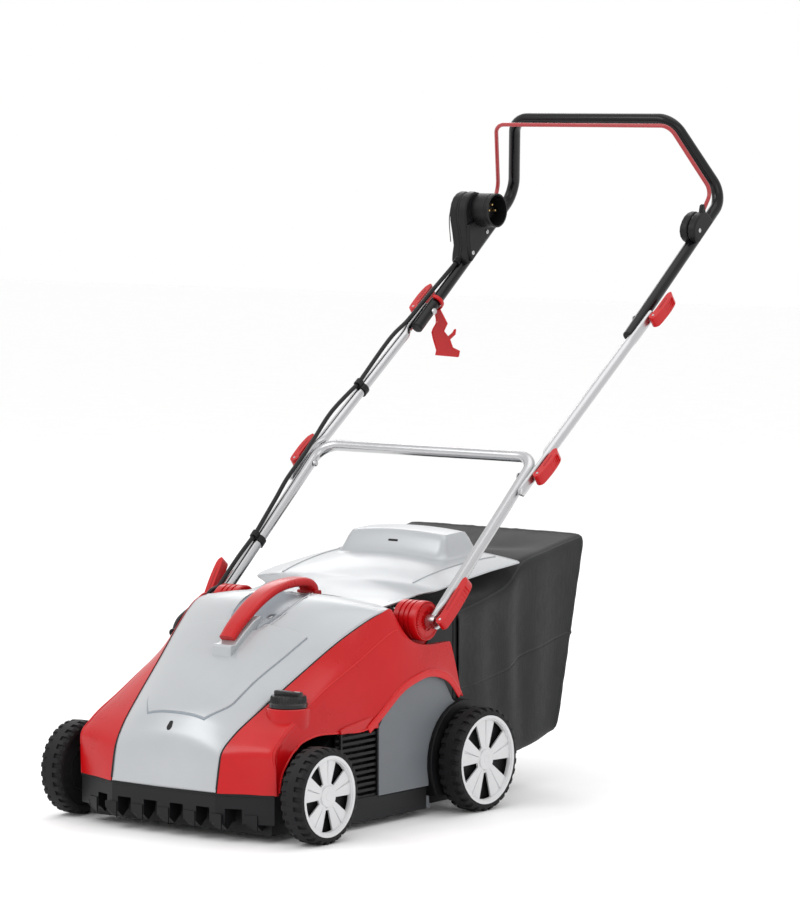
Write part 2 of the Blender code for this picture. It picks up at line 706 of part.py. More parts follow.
def rear_flap():
    """The flap over the discharge mouth, with its hinge barrel."""
    rows = []
    for y, edge, centre, half, hump, forward in FLAP_ROWS:
        stations = [*FLAP_X, half]
        if half < 0.17:
            stations = [x * half / 0.2 for x in stations[:-1]] + [half]
        row = []
        for x in [-s for s in stations[:0:-1]] + stations:
            share = abs(x) / half
            z = centre + (edge - centre) * share ** 2
            z += hump * (1.0 if abs(x) < 0.101 else 0.45 if abs(x) < 0.121 else 0.0)
            row.append((x, y - forward * share ** 2.6, z))
        rows.append(row)
    flap = apply_all(loft("rear_flap", rows, "silver_shell", 0.003))
    barrel = rod("flap_barrel", (0.0, FLAP_HINGE[0], FLAP_HINGE[1] + 0.001), 0.0070, 0.300, sides=16)
    web = box("flap_web", (-0.150, FLAP_HINGE[0] - 0.004, FLAP_HINGE[1]), (0.150, FLAP_HINGE[0] + 0.004, 0.3560))
    join(flap, barrel, web)
    return cut(flap, rod("flap_bore", (0.0, FLAP_HINGE[0], FLAP_HINGE[1]), 0.0030 + GAP, 0.40, sides=16))


def flap_pin():
    return rod("flap_pin", (0.0, *FLAP_HINGE), 0.0030, 0.3434, mat="steel", sides=16)


BAG_FRONT = 0.4590
BAG_HALF = 0.197
BAG_SIDE = [(BAG_FRONT, 0.0560), (0.630, 0.0640), (0.748, 0.0900), (0.835, 0.4370), (0.662, 0.4060), (0.617, 0.3700),
            (BAG_FRONT, 0.3340)]
BAG_WALL = 0.005


def inset_outline(outline, distance):
    """The outline moved inwards by a distance, for one that runs anticlockwise."""
    points = [Vector(p) for p in outline]
    moved = []
    for before, at, after in zip(points[-1:] + points[:-1], points, points[1:] + points[:1]):
        a, b = (at - before).normalized(), (after - at).normalized()
        na, nb = Vector((-a.y, a.x)), Vector((-b.y, b.x))
        middle = (na + nb).normalized()
        moved.append(tuple(at + middle * (distance / middle.dot(na))))
    return moved


def catcher_bag():
    """The fabric catcher as a closed shell, open where it meets the housing."""
    bag = plate("catcher_bag", BAG_SIDE, 0.0, 2 * BAG_HALF, "X", "bag_fabric")
    inner = inset_outline(BAG_SIDE, BAG_WALL)
    inner[0] = (BAG_FRONT - 0.01, inner[0][1])
    inner[-1] = (BAG_FRONT - 0.01, inner[-1][1])
    return cut(bag, plate("bag_inside", inner, 0.0, 2 * (BAG_HALF - BAG_WALL), "X"))


def bag_frame():
    """The stiff frame round the bag's mouth."""
    y0, y1 = BASE_REAR + 0.0030, BAG_FRONT - GAP
    frame = box("bag_frame", (-0.194, y0, 0.0570), (0.194, y1, 0.3325), "black_plastic")
    return cut(frame, box("frame_hole", (-0.184, y0 - 0.01, 0.0670), (0.184, y1 + 0.01, 0.3225)))


# ---------------------------------------------------------------- handle
def pivot_boss():
    """Red socket on the housing in which a leg of the lower frame turns, with a toothed locking face."""
    inner, outer = 0.172, INNER_X - TUBE_R - 0.0008
    middle = (inner + outer) / 2
    boss = rod("pivot_boss_right", (middle, *PIVOT), PIVOT_R, outer - inner, mat="red_shell", sides=24)
    foot = box("boss_foot", (0.176, PIVOT[0] - 0.012, 0.285), (0.190, PIVOT[0] + 0.012, PIVOT[1] - 0.010))
    join(boss, foot)
    return cut(boss, rod("boss_bore", (middle, *PIVOT), BOLT_R + GAP, 0.10, sides=12))


def press(obj, x_from, x_to, test):
    """Squeezes a tube's points across X to a new middle and thickness where a test of (y, z) holds."""
    obj.data.update()
    middle, half, new_middle, new_half = x_from[0], x_from[1], x_to[0], x_to[1]
    turn = obj.matrix_world
    for vertex in obj.data.vertices:
        place = turn @ vertex.co
        share = test(place.y, place.z)
        if share > 0.0 and abs(abs(place.x) - middle) < half * 1.3:
            sign = math.copysign(1.0, place.x)
            offset = abs(place.x) - middle
            squeezed = new_middle + offset * new_half / half
            place.x = sign * ((1 - share) * abs(place.x) + share * squeezed)
            vertex.co = turn.inverted() @ place
    return obj


def lower_frame():
    """The lower U of the handle."""
    x = INNER_X
    corners = [(x, *PIVOT), (x, *CROSSBAR), (-x, *CROSSBAR), (-x, *PIVOT)]
    tube = curve_to_mesh(wire("lower_frame", rounded_path(corners, 0.036, 5), TUBE_R, "bare_tube"))
    for sign in (-1, 1):
        join(tube, rod(f"frame_eye_{sign}", (sign * x, *PIVOT), 0.0125, 2 * TUBE_R - 0.001, sides=20))
        for at, place in (("low", PIVOT), ("high", MID_JOINT)):
            cut(tube, rod(f"frame_bore_{at}_{sign}", (sign * x, *place), BOLT_R + GAP, 0.05, sides=12))
    return tube


MID_LOW, MID_HIGH = 0.046, 0.020
PRESS_RUN = 0.052


def mid_tube():
    """A straight tube between the two clamps, pressed flat at both ends."""
    angle = MID_ANGLE
    span = math.hypot(UPPER_JOINT[0] - MID_JOINT[0], UPPER_JOINT[1] - MID_JOINT[1])
    low = along(MID_JOINT, angle, -MID_LOW)
    total = span + MID_LOW + MID_HIGH
    stations = [0.0, PRESS_RUN + MID_LOW, PRESS_RUN + MID_LOW + 0.02, total - PRESS_RUN - MID_HIGH - 0.02,
                total - PRESS_RUN - MID_HIGH, total]
    points = [(OUTER_X, *along(low, angle, s)) for s in stations]
    tube = curve_to_mesh(wire("mid_tube_right", points, TUBE_R, "bare_tube"))

    def flat(y, z):
        s = (y - low[0]) * math.cos(angle) + (z - low[1]) * math.sin(angle)
        return 1.0 if s < PRESS_RUN + MID_LOW + 0.004 or s > total - PRESS_RUN - MID_HIGH - 0.004 else 0.0

    thin = PRESSED
    press(tube, (OUTER_X, TUBE_R), (INNER_X + HANDLE_R + 0.0006 + thin, thin), flat)
    for k, at in enumerate((MID_JOINT, UPPER_JOINT)):
        cut(tube, rod(f"mid_bore_{k}", (OUTER_X, *at), BOLT_R + GAP, 0.05, sides=12))
    return tube


def upper_handle():
    """The upper U with its kinked grip, painted black."""
    x = INNER_X
    end = along(UPPER_JOINT, UPPER_ANGLE, -0.046)
    corners = [(x, *end), (x, *HANDLE_BEND), (HANDLE_TOP_X, *HANDLE_TOP), (-HANDLE_TOP_X, *HANDLE_TOP),
               (-x, *HANDLE_BEND), (-x, *end)]
    tube = curve_to_mesh(wire("upper_handle", rounded_path(corners, 0.042, 4), HANDLE_R, "black_tube"))
    for sign in (-1, 1):
        cut(tube, rod(f"handle_bore_{sign}", (sign * x, *UPPER_JOINT), BOLT_R + GAP, 0.05, sides=12))
    return tube


LEVER_GAP = 0.0008
LEVER_HINGE = 0.0085
PIVOT_LEVER_ANGLE = math.radians(50)


def bolt(name, at, inside, outside, sign):
    """A bolt along X with its round head on the inner side."""
    start = inside - 0.003
    shank = rod(name, (sign * (start + outside) / 2, *at), BOLT_R, outside - start, mat="steel", sides=12)
    return join(shank, rod(name + "_head", (sign * (inside - 0.0022), *at), 0.0062, 0.0042, sides=16))


def lever(name, at, x, sign, length, angle, width=0.021, splay=0.0):
    """A cam lever: a round head on the clamp and an arm beside the tube, which may lean outwards."""
    plan = arc((0.0, LEVER_HINGE), LEVER_HINGE - 0.0002, 315, 105, 8)
    plan += [(0.004, 0.0175), (0.018, 0.0185), (length * 0.55, 0.0190), (length - 0.010, 0.0165),
             (length, 0.0100), (length - 0.004, 0.0045), (length * 0.75, 0.0035), (0.022, 0.0035)]
    shape = [(u, sign * (x + v + splay * max(0.0, u))) for u, v in plan]
    obj = plate(name, shape, 0.0, width, "Z", "red_shell")
    # The plan lies in (along, x). It is laid on the tube's direction.
    along_dir = Vector((0.0, math.cos(angle), math.sin(angle)))
    across = Vector((1.0, 0.0, 0.0))
    normal = along_dir.cross(across)
    turn = Matrix((along_dir, across, normal)).transposed().to_4x4()
    obj.matrix_world = Matrix.Translation((0.0, *at)) @ turn
    add_bevel(obj, 0.0022, 1)
    return obj


def clamps():
    """Bolts and cam levers at the six places where the handle is clamped."""
    outer_mid = INNER_X + HANDLE_R + 0.0006 + 2 * PRESSED + LEVER_GAP
    reach = INNER_X + TUBE_R + LEVER_GAP
    for side, sign in (("left", -1), ("right", 1)):
        bolt(f"mid_bolt_{side}", MID_JOINT, INNER_X - TUBE_R - GAP, outer_mid + 0.0002 - LEVER_GAP, sign)
        bolt(f"upper_bolt_{side}", UPPER_JOINT, INNER_X - HANDLE_R - GAP, outer_mid + 0.0002 - LEVER_GAP, sign)
        bolt(f"pivot_bolt_{side}", PIVOT, 0.1700, reach - 0.0004, sign)
        lever(f"mid_lever_{side}", MID_JOINT, outer_mid, sign, 0.068, MID_ANGLE)
        lever(f"upper_lever_{side}", UPPER_JOINT, outer_mid, sign, 0.068, MID_ANGLE)
        lever(f"pivot_lever_{side}", PIVOT, reach, sign, 0.088, PIVOT_LEVER_ANGLE, 0.019, 0.13)


# ---------------------------------------------------------------- controls at the grip
PLUG_CENTRE = (1.0850, 0.9950)
PLUG_R = 0.0275
LOCK_R = 0.0070
LOCK_PLACE = (1.0700, 0.9900)


def normal_of(angle):
    return (-math.sin(angle), math.cos(angle))


def on_handle(distance, lift):
    """A point beside the upper tube: a distance up from its clamp and a lift off its axis, forwards and up."""
    y, z = along(UPPER_JOINT, UPPER_ANGLE, distance)
    n = normal_of(UPPER_ANGLE)
    return (y + n[0] * lift, z + n[1] * lift)


def tube_way(name, x, radius):
    """A cutter along the straight of the upper tube, for what saddles it."""
    way = rod(name, (x, *on_handle(0.2, 0.0)), radius, 0.2, "Y", sides=20)
    way.rotation_euler.x = UPPER_ANGLE
    return way


def bail_seat(body, sign):
    """Cuts the slot in which an end of the bail swings, and the blind bore for its turned-out pin."""
    cut(body, rod(f"bail_way_{sign}", (sign * 0.2355, *BAIL_PIVOT), 0.0165, 0.0180, sides=20))
    return cut(body, rod(f"bail_bore_{sign}", (sign * 0.2465, *BAIL_PIVOT), BAIL_R + GAP, 0.0060, sides=16))


def switch_box():
    """Switch housing on the left of the handle, with the plug inlet's round shroud facing inwards."""
    shape = [on_handle(0.128, 0.0020), on_handle(0.128, 0.0135), on_handle(0.150, 0.030), on_handle(0.170, 0.072),
             on_handle(0.192, 0.098), on_handle(0.215, 0.103), on_handle(0.236, 0.090), on_handle(0.246, 0.062),
             on_handle(0.264, 0.038), on_handle(0.268, 0.0020)]
    body = plate("switch_box", shape, -0.2350, 0.038, "X", "black_plastic")
    add_bevel(body, 0.005, 2)
    apply_all(body)
    mouth, root = -0.1780, -0.2300
    join(body, rod("shroud", ((mouth + root) / 2, *PLUG_CENTRE), PLUG_R, mouth - root, sides=28))
    cut(body, rod("shroud_hole", ((mouth - 0.216) / 2 + 0.01, *PLUG_CENTRE), PLUG_R - 0.003, mouth + 0.216 + 0.02,
                  sides=28))
    for k, dy in enumerate((-0.0095, 0.0095)):
        join(body, rod(f"plug_pin_{k}", (-0.206, PLUG_CENTRE[0] + dy, PLUG_CENTRE[1]), 0.0024, 0.024, sides=10))
    cut(body, tube_way("switch_saddle", -INNER_X, HANDLE_R + GAP))
    cut(body, rod("button_way", (-0.2500, *LOCK_PLACE), LOCK_R + GAP, 0.0120, sides=20))
    return bail_seat(body, -1)


def lock_button():
    """The button that is pressed in before the bail can be pulled, on the outer face of the switch housing."""
    return rod("lock_button", (-0.2528, *LOCK_PLACE), LOCK_R, 0.0090, mat="red_shell", sides=20)


def bail_pivot_box():
    """The housing that saddles the right tube, in which the right end of the bail turns."""
    shape = [on_handle(0.208, 0.0020), on_handle(0.203, 0.020), on_handle(0.214, 0.036), on_handle(0.236, 0.0415),
             on_handle(0.258, 0.034), on_handle(0.266, 0.016), on_handle(0.266, 0.0020)]
    body = plate("bail_pivot_box", shape, 0.2365, 0.034, "X", "black_plastic")
    add_bevel(body, 0.004, 2)
    apply_all(body)
    cut(body, tube_way("pivot_saddle", INNER_X, HANDLE_R + GAP))
    return bail_seat(body, 1)


def bail():
    """The switch bail: a thin bar in front of the grip, with a pin turned out at both ends."""
    right = [(INNER_X + 0.0145, *BAIL_PIVOT), (INNER_X, *BAIL_PIVOT), (0.2385, 1.1710, 1.0350), (0.1930, 1.1010, 1.1535)]
    corners = right + [(-x, y, z) for x, y, z in reversed(right)]
    return wire("bail", rounded_path(corners, 0.026, 4), BAIL_R, "red_rod", 2)


# Outline of the cable hook's plate below its clip: x from the tube's middle, and height. It starts at the neck.
HOOK_OUTLINE = [(-0.0050, -0.0135), (-0.0035, -0.0386), (-0.0216, -0.0589), (-0.0178, -0.0945),
                (-0.0225, -0.1045), (0.0309, -0.1065), (0.0358, -0.0944), (0.0208, -0.0884), (0.0177, -0.0733),
                (0.0320, -0.0630), (0.0358, -0.0525), (0.0330, -0.0510), (0.0270, -0.0580), (0.0143, -0.0667),
                (0.0072, -0.0574), (0.0185, -0.0423), (0.0070, -0.0135)]
HOOK_LEAN = math.radians(16.4)
HOOK_PLACE = 0.026


def relief_hook():
    """The red hook that holds the extension lead: a clip open on its outer side, and a plate that hangs from it."""
    y, z = on_handle(HOOK_PLACE, 0.0)
    inner, outer = HANDLE_R + 0.0010, HANDLE_R + 0.0055
    band = arc((0.0, 0.0), outer, -100, 100, 14) + arc((0.0, 0.0), inner, 100, -100, 14)
    hook = plate("relief_hook", band, 0.0, 0.007, "Z", "red_shell")
    tilt = Matrix.Rotation(UPPER_ANGLE - math.pi / 2, 4, "X")
    hook.matrix_world = Matrix.Translation((-INNER_X, y, z)) @ tilt
    flat = plate("hook_plate", HOOK_OUTLINE, 0.0, 0.005, "Y")
    flat.matrix_world = Matrix.Translation((-INNER_X, y, z)) @ Matrix.Rotation(HOOK_LEAN, 4, "X") @ FACING["Y"]
    return join(hook, flat)


def cable_clip(name, at, angle, x, radius):
    """A clip round tube and cable."""
    y, z = at
    n = normal_of(angle)
    block = rod(name, (x, y, z), radius + 0.0025, 0.012, "Y", "black_plastic", sides=20)
    block.rotation_euler.x = angle
    saddle = rod(name + "_saddle", (x, y + n[0] * 0.0155, z + n[1] * 0.0155), CABLE_R + 0.0030, 0.012, "Y", sides=16)
    saddle.rotation_euler.x = angle
    join(block, saddle)
    for k, (lift, r) in enumerate(((0.0, radius + GAP), (0.0155, CABLE_R + 0.0008))):
        hole = rod(f"{name}_hole_{k}", (x, y + n[0] * lift, z + n[1] * lift), r, 0.05, "Y", sides=16)
        hole.rotation_euler.x = angle
        cut(block, hole)
    return block


def lifted(at, angle, lift, x):
    n = normal_of(angle)
    return (x, at[0] + n[0] * lift, at[1] + n[1] * lift)


CABLE_LIFT = 0.0155
CLIP_UPPER = 0.206
CLIP_LOWER = 0.150


def cables():
    """The lead from the switch box down the left tubes to the side cover, broken at each fold of the handle."""
    upper, mid, low = UPPER_ANGLE, MID_ANGLE, LOWER_ANGLE
    high_turn, low_turn = (upper + mid) / 2, (mid + low) / 2
    beside = -OUTER_X
    route = [
        ("cable_upper", [lifted(along(UPPER_JOINT, upper, 0.1275), upper, 0.0160, -INNER_X),
                         lifted(along(UPPER_JOINT, upper, 0.090), upper, CABLE_LIFT, -0.2380),
                         lifted(along(UPPER_JOINT, upper, 0.050), upper, CABLE_LIFT, -0.2420),
                         lifted(along(UPPER_JOINT, high_turn, GAP), high_turn, CABLE_LIFT, -0.2460)]),
        ("cable_middle", [lifted(along(UPPER_JOINT, high_turn, -GAP), high_turn, CABLE_LIFT, -0.2460),
                          lifted(along(UPPER_JOINT, mid, -0.050), mid, CABLE_LIFT, -0.2480),
                          lifted(along(UPPER_JOINT, mid, -0.110), mid, 0.0200, -0.2500),
                          lifted(along(MID_JOINT, mid, CLIP_UPPER), mid, CABLE_LIFT, beside),
                          lifted(along(MID_JOINT, mid, 0.120), mid, 0.0210, -0.2510),
                          lifted(along(MID_JOINT, mid, 0.050), mid, 0.0170, -0.2480),
                          lifted(along(MID_JOINT, low_turn, GAP), low_turn, CABLE_LIFT, -0.2440)]),
        ("cable_lower", [lifted(along(MID_JOINT, low_turn, -GAP), low_turn, CABLE_LIFT, -0.2440),
                         lifted(along(MID_JOINT, low, -0.060), low, 0.0190, -0.2420),
                         lifted(along(MID_JOINT, low, -0.110), low, 0.0175, -0.2390),
                         lifted(along(PIVOT, low, CLIP_LOWER), low, CABLE_LIFT, -INNER_X),
                         lifted(along(PIVOT, low, 0.100), low, 0.0185, -INNER_X),
                         lifted(along(PIVOT, low, 0.060), low, 0.0190, -INNER_X),
                         lifted(along(PIVOT, low, 0.034), low, 0.0185, -INNER_X)]),
        ("cable_inlet", [lifted(along(PIVOT, low, 0.030), low, 0.0185, -INNER_X),
                         lifted(along(PIVOT, low, 0.020), low, 0.0185, -0.2350), (-0.2370, 0.3250, 0.3510),
                         (-0.2380, 0.3100, 0.3410), (-0.2370, 0.2880, 0.3320), (-0.2340, 0.2620, 0.3240),
                         (-0.2270, 0.2220, 0.3085), (-0.2125, 0.1900, 0.2850)]),
    ]
    for name, points in route:
        wire(name, smooth_path(points, 0.018), CABLE_R, "black_plastic", 2)
    cable_clip("cable_clip_upper", along(MID_JOINT, mid, CLIP_UPPER), mid, -OUTER_X, TUBE_R)
    cable_clip("cable_clip_lower", along(PIVOT, low, CLIP_LOWER), low, -INNER_X, TUBE_R)


def build():
    base_housing()
    for name, sign, axle, radius, rim in (("front_left", -1, FRONT_AXLE, FRONT_R, 0.0674),
                                          ("front_right", 1, FRONT_AXLE, FRONT_R, 0.0674),
                                          ("rear_left", -1, REAR_AXLE, REAR_R, 0.0762),
                                          ("rear_right", 1, REAR_AXLE, REAR_R, 0.0762)):
        wheel(name, sign, axle, radius, rim)
    front_axle()
    rear_axle()
    tine_roller()
    bearing("bearing_left", -1)
    bearing("bearing_right", 1)
    pulley("roller_pulley", ROLLER, ROLLER_PULLEY_R, 0.010 + GAP)
    armature()
    drive_belt()
    motor_housing()
    hood()
    side_covers()
    mirrored(side_panel(), "side_panel_left")
    mirrored(vent_grille(), "vent_grille_left")
    carry_handle()
    depth_knob()
    rear_flap()
    flap_pin()
    catcher_bag()
    bag_frame()
    mirrored(pivot_boss(), "pivot_boss_left")
    lower_frame()
    mirrored(mid_tube(), "mid_tube_left")
    upper_handle()
    clamps()
    switch_box()
    lock_button()
    bail_pivot_box()
    bail()
    relief_hook()
    cables()


build()
bpy.context.view_layer.update()
for part in list(PARTS.objects) + list(CUTTERS.objects):
    part.matrix_world = Matrix.Translation((0.0, Y_SHIFT, 0.0)) @ part.matrix_world
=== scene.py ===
"""Looks of the electric lawn dethatcher: smooth pieces, materials, floor, lights and camera."""

import math  # noqa: E402

import bmesh  # noqa: E402
import bpy  # noqa: E402
from mathutils import Matrix, Vector, noise  # noqa: E402


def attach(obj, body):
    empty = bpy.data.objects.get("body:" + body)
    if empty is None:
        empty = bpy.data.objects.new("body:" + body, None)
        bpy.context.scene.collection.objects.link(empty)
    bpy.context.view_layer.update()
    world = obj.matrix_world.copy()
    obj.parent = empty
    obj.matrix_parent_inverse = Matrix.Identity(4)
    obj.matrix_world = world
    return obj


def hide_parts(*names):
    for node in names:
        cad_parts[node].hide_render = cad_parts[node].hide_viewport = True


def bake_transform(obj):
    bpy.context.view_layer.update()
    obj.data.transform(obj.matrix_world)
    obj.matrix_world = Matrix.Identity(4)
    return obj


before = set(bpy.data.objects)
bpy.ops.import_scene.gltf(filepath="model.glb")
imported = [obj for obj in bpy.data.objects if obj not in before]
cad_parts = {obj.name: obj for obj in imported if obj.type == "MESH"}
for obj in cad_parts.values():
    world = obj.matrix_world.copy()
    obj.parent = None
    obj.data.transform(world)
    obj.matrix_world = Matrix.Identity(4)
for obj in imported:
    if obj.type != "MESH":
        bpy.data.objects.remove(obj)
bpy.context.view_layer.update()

# ---------------------------------------------------------------- dimensions in metres, y from the front axle
Y0 = -0.56315
FRONT_AXLE, REAR_AXLE = (0.0, 0.079), (0.433, 0.088)
PIVOT, UPPER_JOINT, CROSSBAR = (0.338, 0.329), (0.95, 0.812), (0.634, 0.586)
HANDLE_BEND, HANDLE_TOP, HANDLE_TOP_X = (1.216, 1.024), (1.136, 1.1646), 0.1752
BAIL_PIVOT = (1.1385, 0.985)
TUBE_R, HANDLE_R, INNER_X, OUTER_X, PRESSED = 0.01, 0.0108, 0.2345, 0.2475, 0.0055
CABLE_R = 0.004
KNOB = (0.172, 0.027)
PLUG = (1.085, 0.995)
LOCK = (1.07, 0.99)
SHELL = 0.0025          # wall of the hood and the side covers
COVER_GAP = 0.0034      # from the hood's edge to the cover beside it
TRACK_HALF, TYRE_WIDE = 0.279, 0.0424
TUBE_OVERHANG, UPPER_OVERHANG = 0.046, 0.02        # tube ends past the middle and upper joints
CLAMP_LEVER, PIVOT_LEVER = 0.068, 0.088
HOOK_PLACE, HOOK_LEAN = 0.026, 16.4     # along the handle from the upper joint, and degrees
CABLE_LIFT = 0.0155     # from a tube's axis to the axis of the cable on it
SIDES = (("left", -1), ("right", 1))


def heading(a, b):
    return math.atan2(b[1] - a[1], b[0] - a[0])


def along(start, angle, distance):
    return (start[0] + math.cos(angle) * distance, start[1] + math.sin(angle) * distance)


LOWER_ANGLE = heading(PIVOT, CROSSBAR)
MID_JOINT = along(PIVOT, LOWER_ANGLE, 0.345)
MID_ANGLE = heading(MID_JOINT, UPPER_JOINT)
UPPER_ANGLE = heading(UPPER_JOINT, HANDLE_BEND)


def at(x, y, z):
    """A point given from the front axle, in the model's frame."""
    return Vector((x, y + Y0, z))


def lifted(place, angle, lift, x):
    """A point beside a tube: off its axis by a lift, forwards and up."""
    return at(x, place[0] - math.sin(angle) * lift, place[1] + math.cos(angle) * lift)


def on_handle(distance, lift):
    y, z = along(UPPER_JOINT, UPPER_ANGLE, distance)
    return (y - math.sin(UPPER_ANGLE) * lift, z + math.cos(UPPER_ANGLE) * lift)


def handle_outline(*places):
    """Points given as (distance, lift) along the upper handle."""
    return [on_handle(distance, lift) for distance, lift in places]


# ---------------------------------------------------------------- materials
def value(tree, kind, **inputs):
    """A node with some of its inputs set or linked."""
    node = tree.nodes.new(kind)
    for name, given in inputs.items():
        socket = node.inputs[name.replace("_", " ")]
        if isinstance(given, bpy.types.NodeSocket):
            tree.links.new(given, socket)
        else:
            socket.default_value = given
    return node


def ramp(tree, source, stops):
    node = tree.nodes.new("ShaderNodeValToRGB")
    tree.links.new(source, node.inputs["Fac"])
    while len(node.color_ramp.elements) < len(stops):
        node.color_ramp.elements.new(0.5)
    for element, (place, shade) in zip(node.color_ramp.elements, stops):
        element.position = place
        element.color = (*shade, 1.0) if len(shade) == 3 else shade
    return node


def grey(v):
    return (v, v, v)


def scaled(colour, k):
    return tuple(min(1.0, c * k) for c in colour)


def surface(name, colour, rough, metal=0.0, coat=0.0, grain=900.0, bump=0.05, depth=0.0004, patch=9.0,
            vary=0.12, rough_vary=0.08, dust=0.0, stretch=(1, 1, 1), ior=1.5, sheen=0.0):
    """A surface with slow colour patches, fine grain in the bump, uneven gloss, and dust that lies on top."""
    made = bpy.data.materials.new(name)
    made.use_nodes = True
    tree = made.node_tree
    shader = tree.nodes["Principled BSDF"]
    place = value(tree, "ShaderNodeTexCoord").outputs["Object"]
    mapping = value(tree, "ShaderNodeMapping", Vector=place, Scale=stretch).outputs["Vector"]
    slow = value(tree, "ShaderNodeTexNoise", Vector=mapping, Scale=patch, Detail=6.0, Roughness=0.6)
    fine = value(tree, "ShaderNodeTexNoise", Vector=mapping, Scale=grain, Detail=3.0, Roughness=0.6)
    shade = ramp(tree, slow.outputs["Fac"], [(0.3, scaled(colour, 1 - vary)), (0.7, scaled(colour, 1 + vary))])
    out = shade.outputs["Color"]
    if dust > 0.0:
        normal = value(tree, "ShaderNodeNewGeometry").outputs["Normal"]
        up = value(tree, "ShaderNodeSeparateXYZ", Vector=normal).outputs["Z"]
        lie = ramp(tree, up, [(0.35, grey(0.0)), (1.0, grey(dust))]).outputs["Color"]
        speck = ramp(tree, slow.outputs["Fac"], [(0.35, grey(0.25)), (0.65, grey(1.0))]).outputs["Color"]
        much = value(tree, "ShaderNodeMath")
        much.operation = "MULTIPLY"
        tree.links.new(lie, much.inputs[0])
        tree.links.new(speck, much.inputs[1])
        mix = tree.nodes.new("ShaderNodeMix")
        mix.data_type = "RGBA"
        tree.links.new(much.outputs["Value"], mix.inputs["Factor"])
        tree.links.new(out, mix.inputs[6])
        mix.inputs[7].default_value = (0.42, 0.4, 0.36, 1.0)
        out = mix.outputs[2]
    tree.links.new(out, shader.inputs["Base Color"])
    low, high = max(0.02, rough - rough_vary), min(1.0, rough + rough_vary)
    gloss = ramp(tree, slow.outputs["Fac"], [(0.3, grey(low)), (0.7, grey(high))])
    tree.links.new(gloss.outputs["Color"], shader.inputs["Roughness"])
    relief = value(tree, "ShaderNodeBump", Strength=bump, Distance=depth, Height=fine.outputs["Fac"])
    tree.links.new(relief.outputs["Normal"], shader.inputs["Normal"])
    shader.inputs["Metallic"].default_value = metal
    shader.inputs["Coat Weight"].default_value = coat
    shader.inputs["Coat Roughness"].default_value = 0.12
    shader.inputs["IOR"].default_value = ior
    shader.inputs["Sheen Weight"].default_value = sheen
    return made


def weave(name, colour, threads=420.0):
    """Woven cloth: crossing threads in the bump, worn patches in the colour."""
    made = surface(name, colour, 0.86, grain=260.0, bump=0.15, depth=0.0004, patch=14.0, vary=0.25, dust=0.02,
                   sheen=0.12)
    tree = made.node_tree
    shader = tree.nodes["Principled BSDF"]
    place = value(tree, "ShaderNodeTexCoord").outputs["Object"]
    waves = []
    for direction in ("X", "Z"):
        wave = value(tree, "ShaderNodeTexWave", Vector=place, Scale=threads, Distortion=0.0, Detail=0.0)
        wave.bands_direction = direction
        waves.append(wave.outputs["Fac"])
    cross = value(tree, "ShaderNodeMath")
    cross.operation = "MAXIMUM"
    tree.links.new(waves[0], cross.inputs[0])
    tree.links.new(waves[1], cross.inputs[1])
    under = shader.inputs["Normal"].links[0].from_socket
    relief = value(tree, "ShaderNodeBump", Strength=0.35, Distance=0.0005, Height=cross.outputs["Value"], Normal=under)
    tree.links.new(relief.outputs["Normal"], shader.inputs["Normal"])
    return made


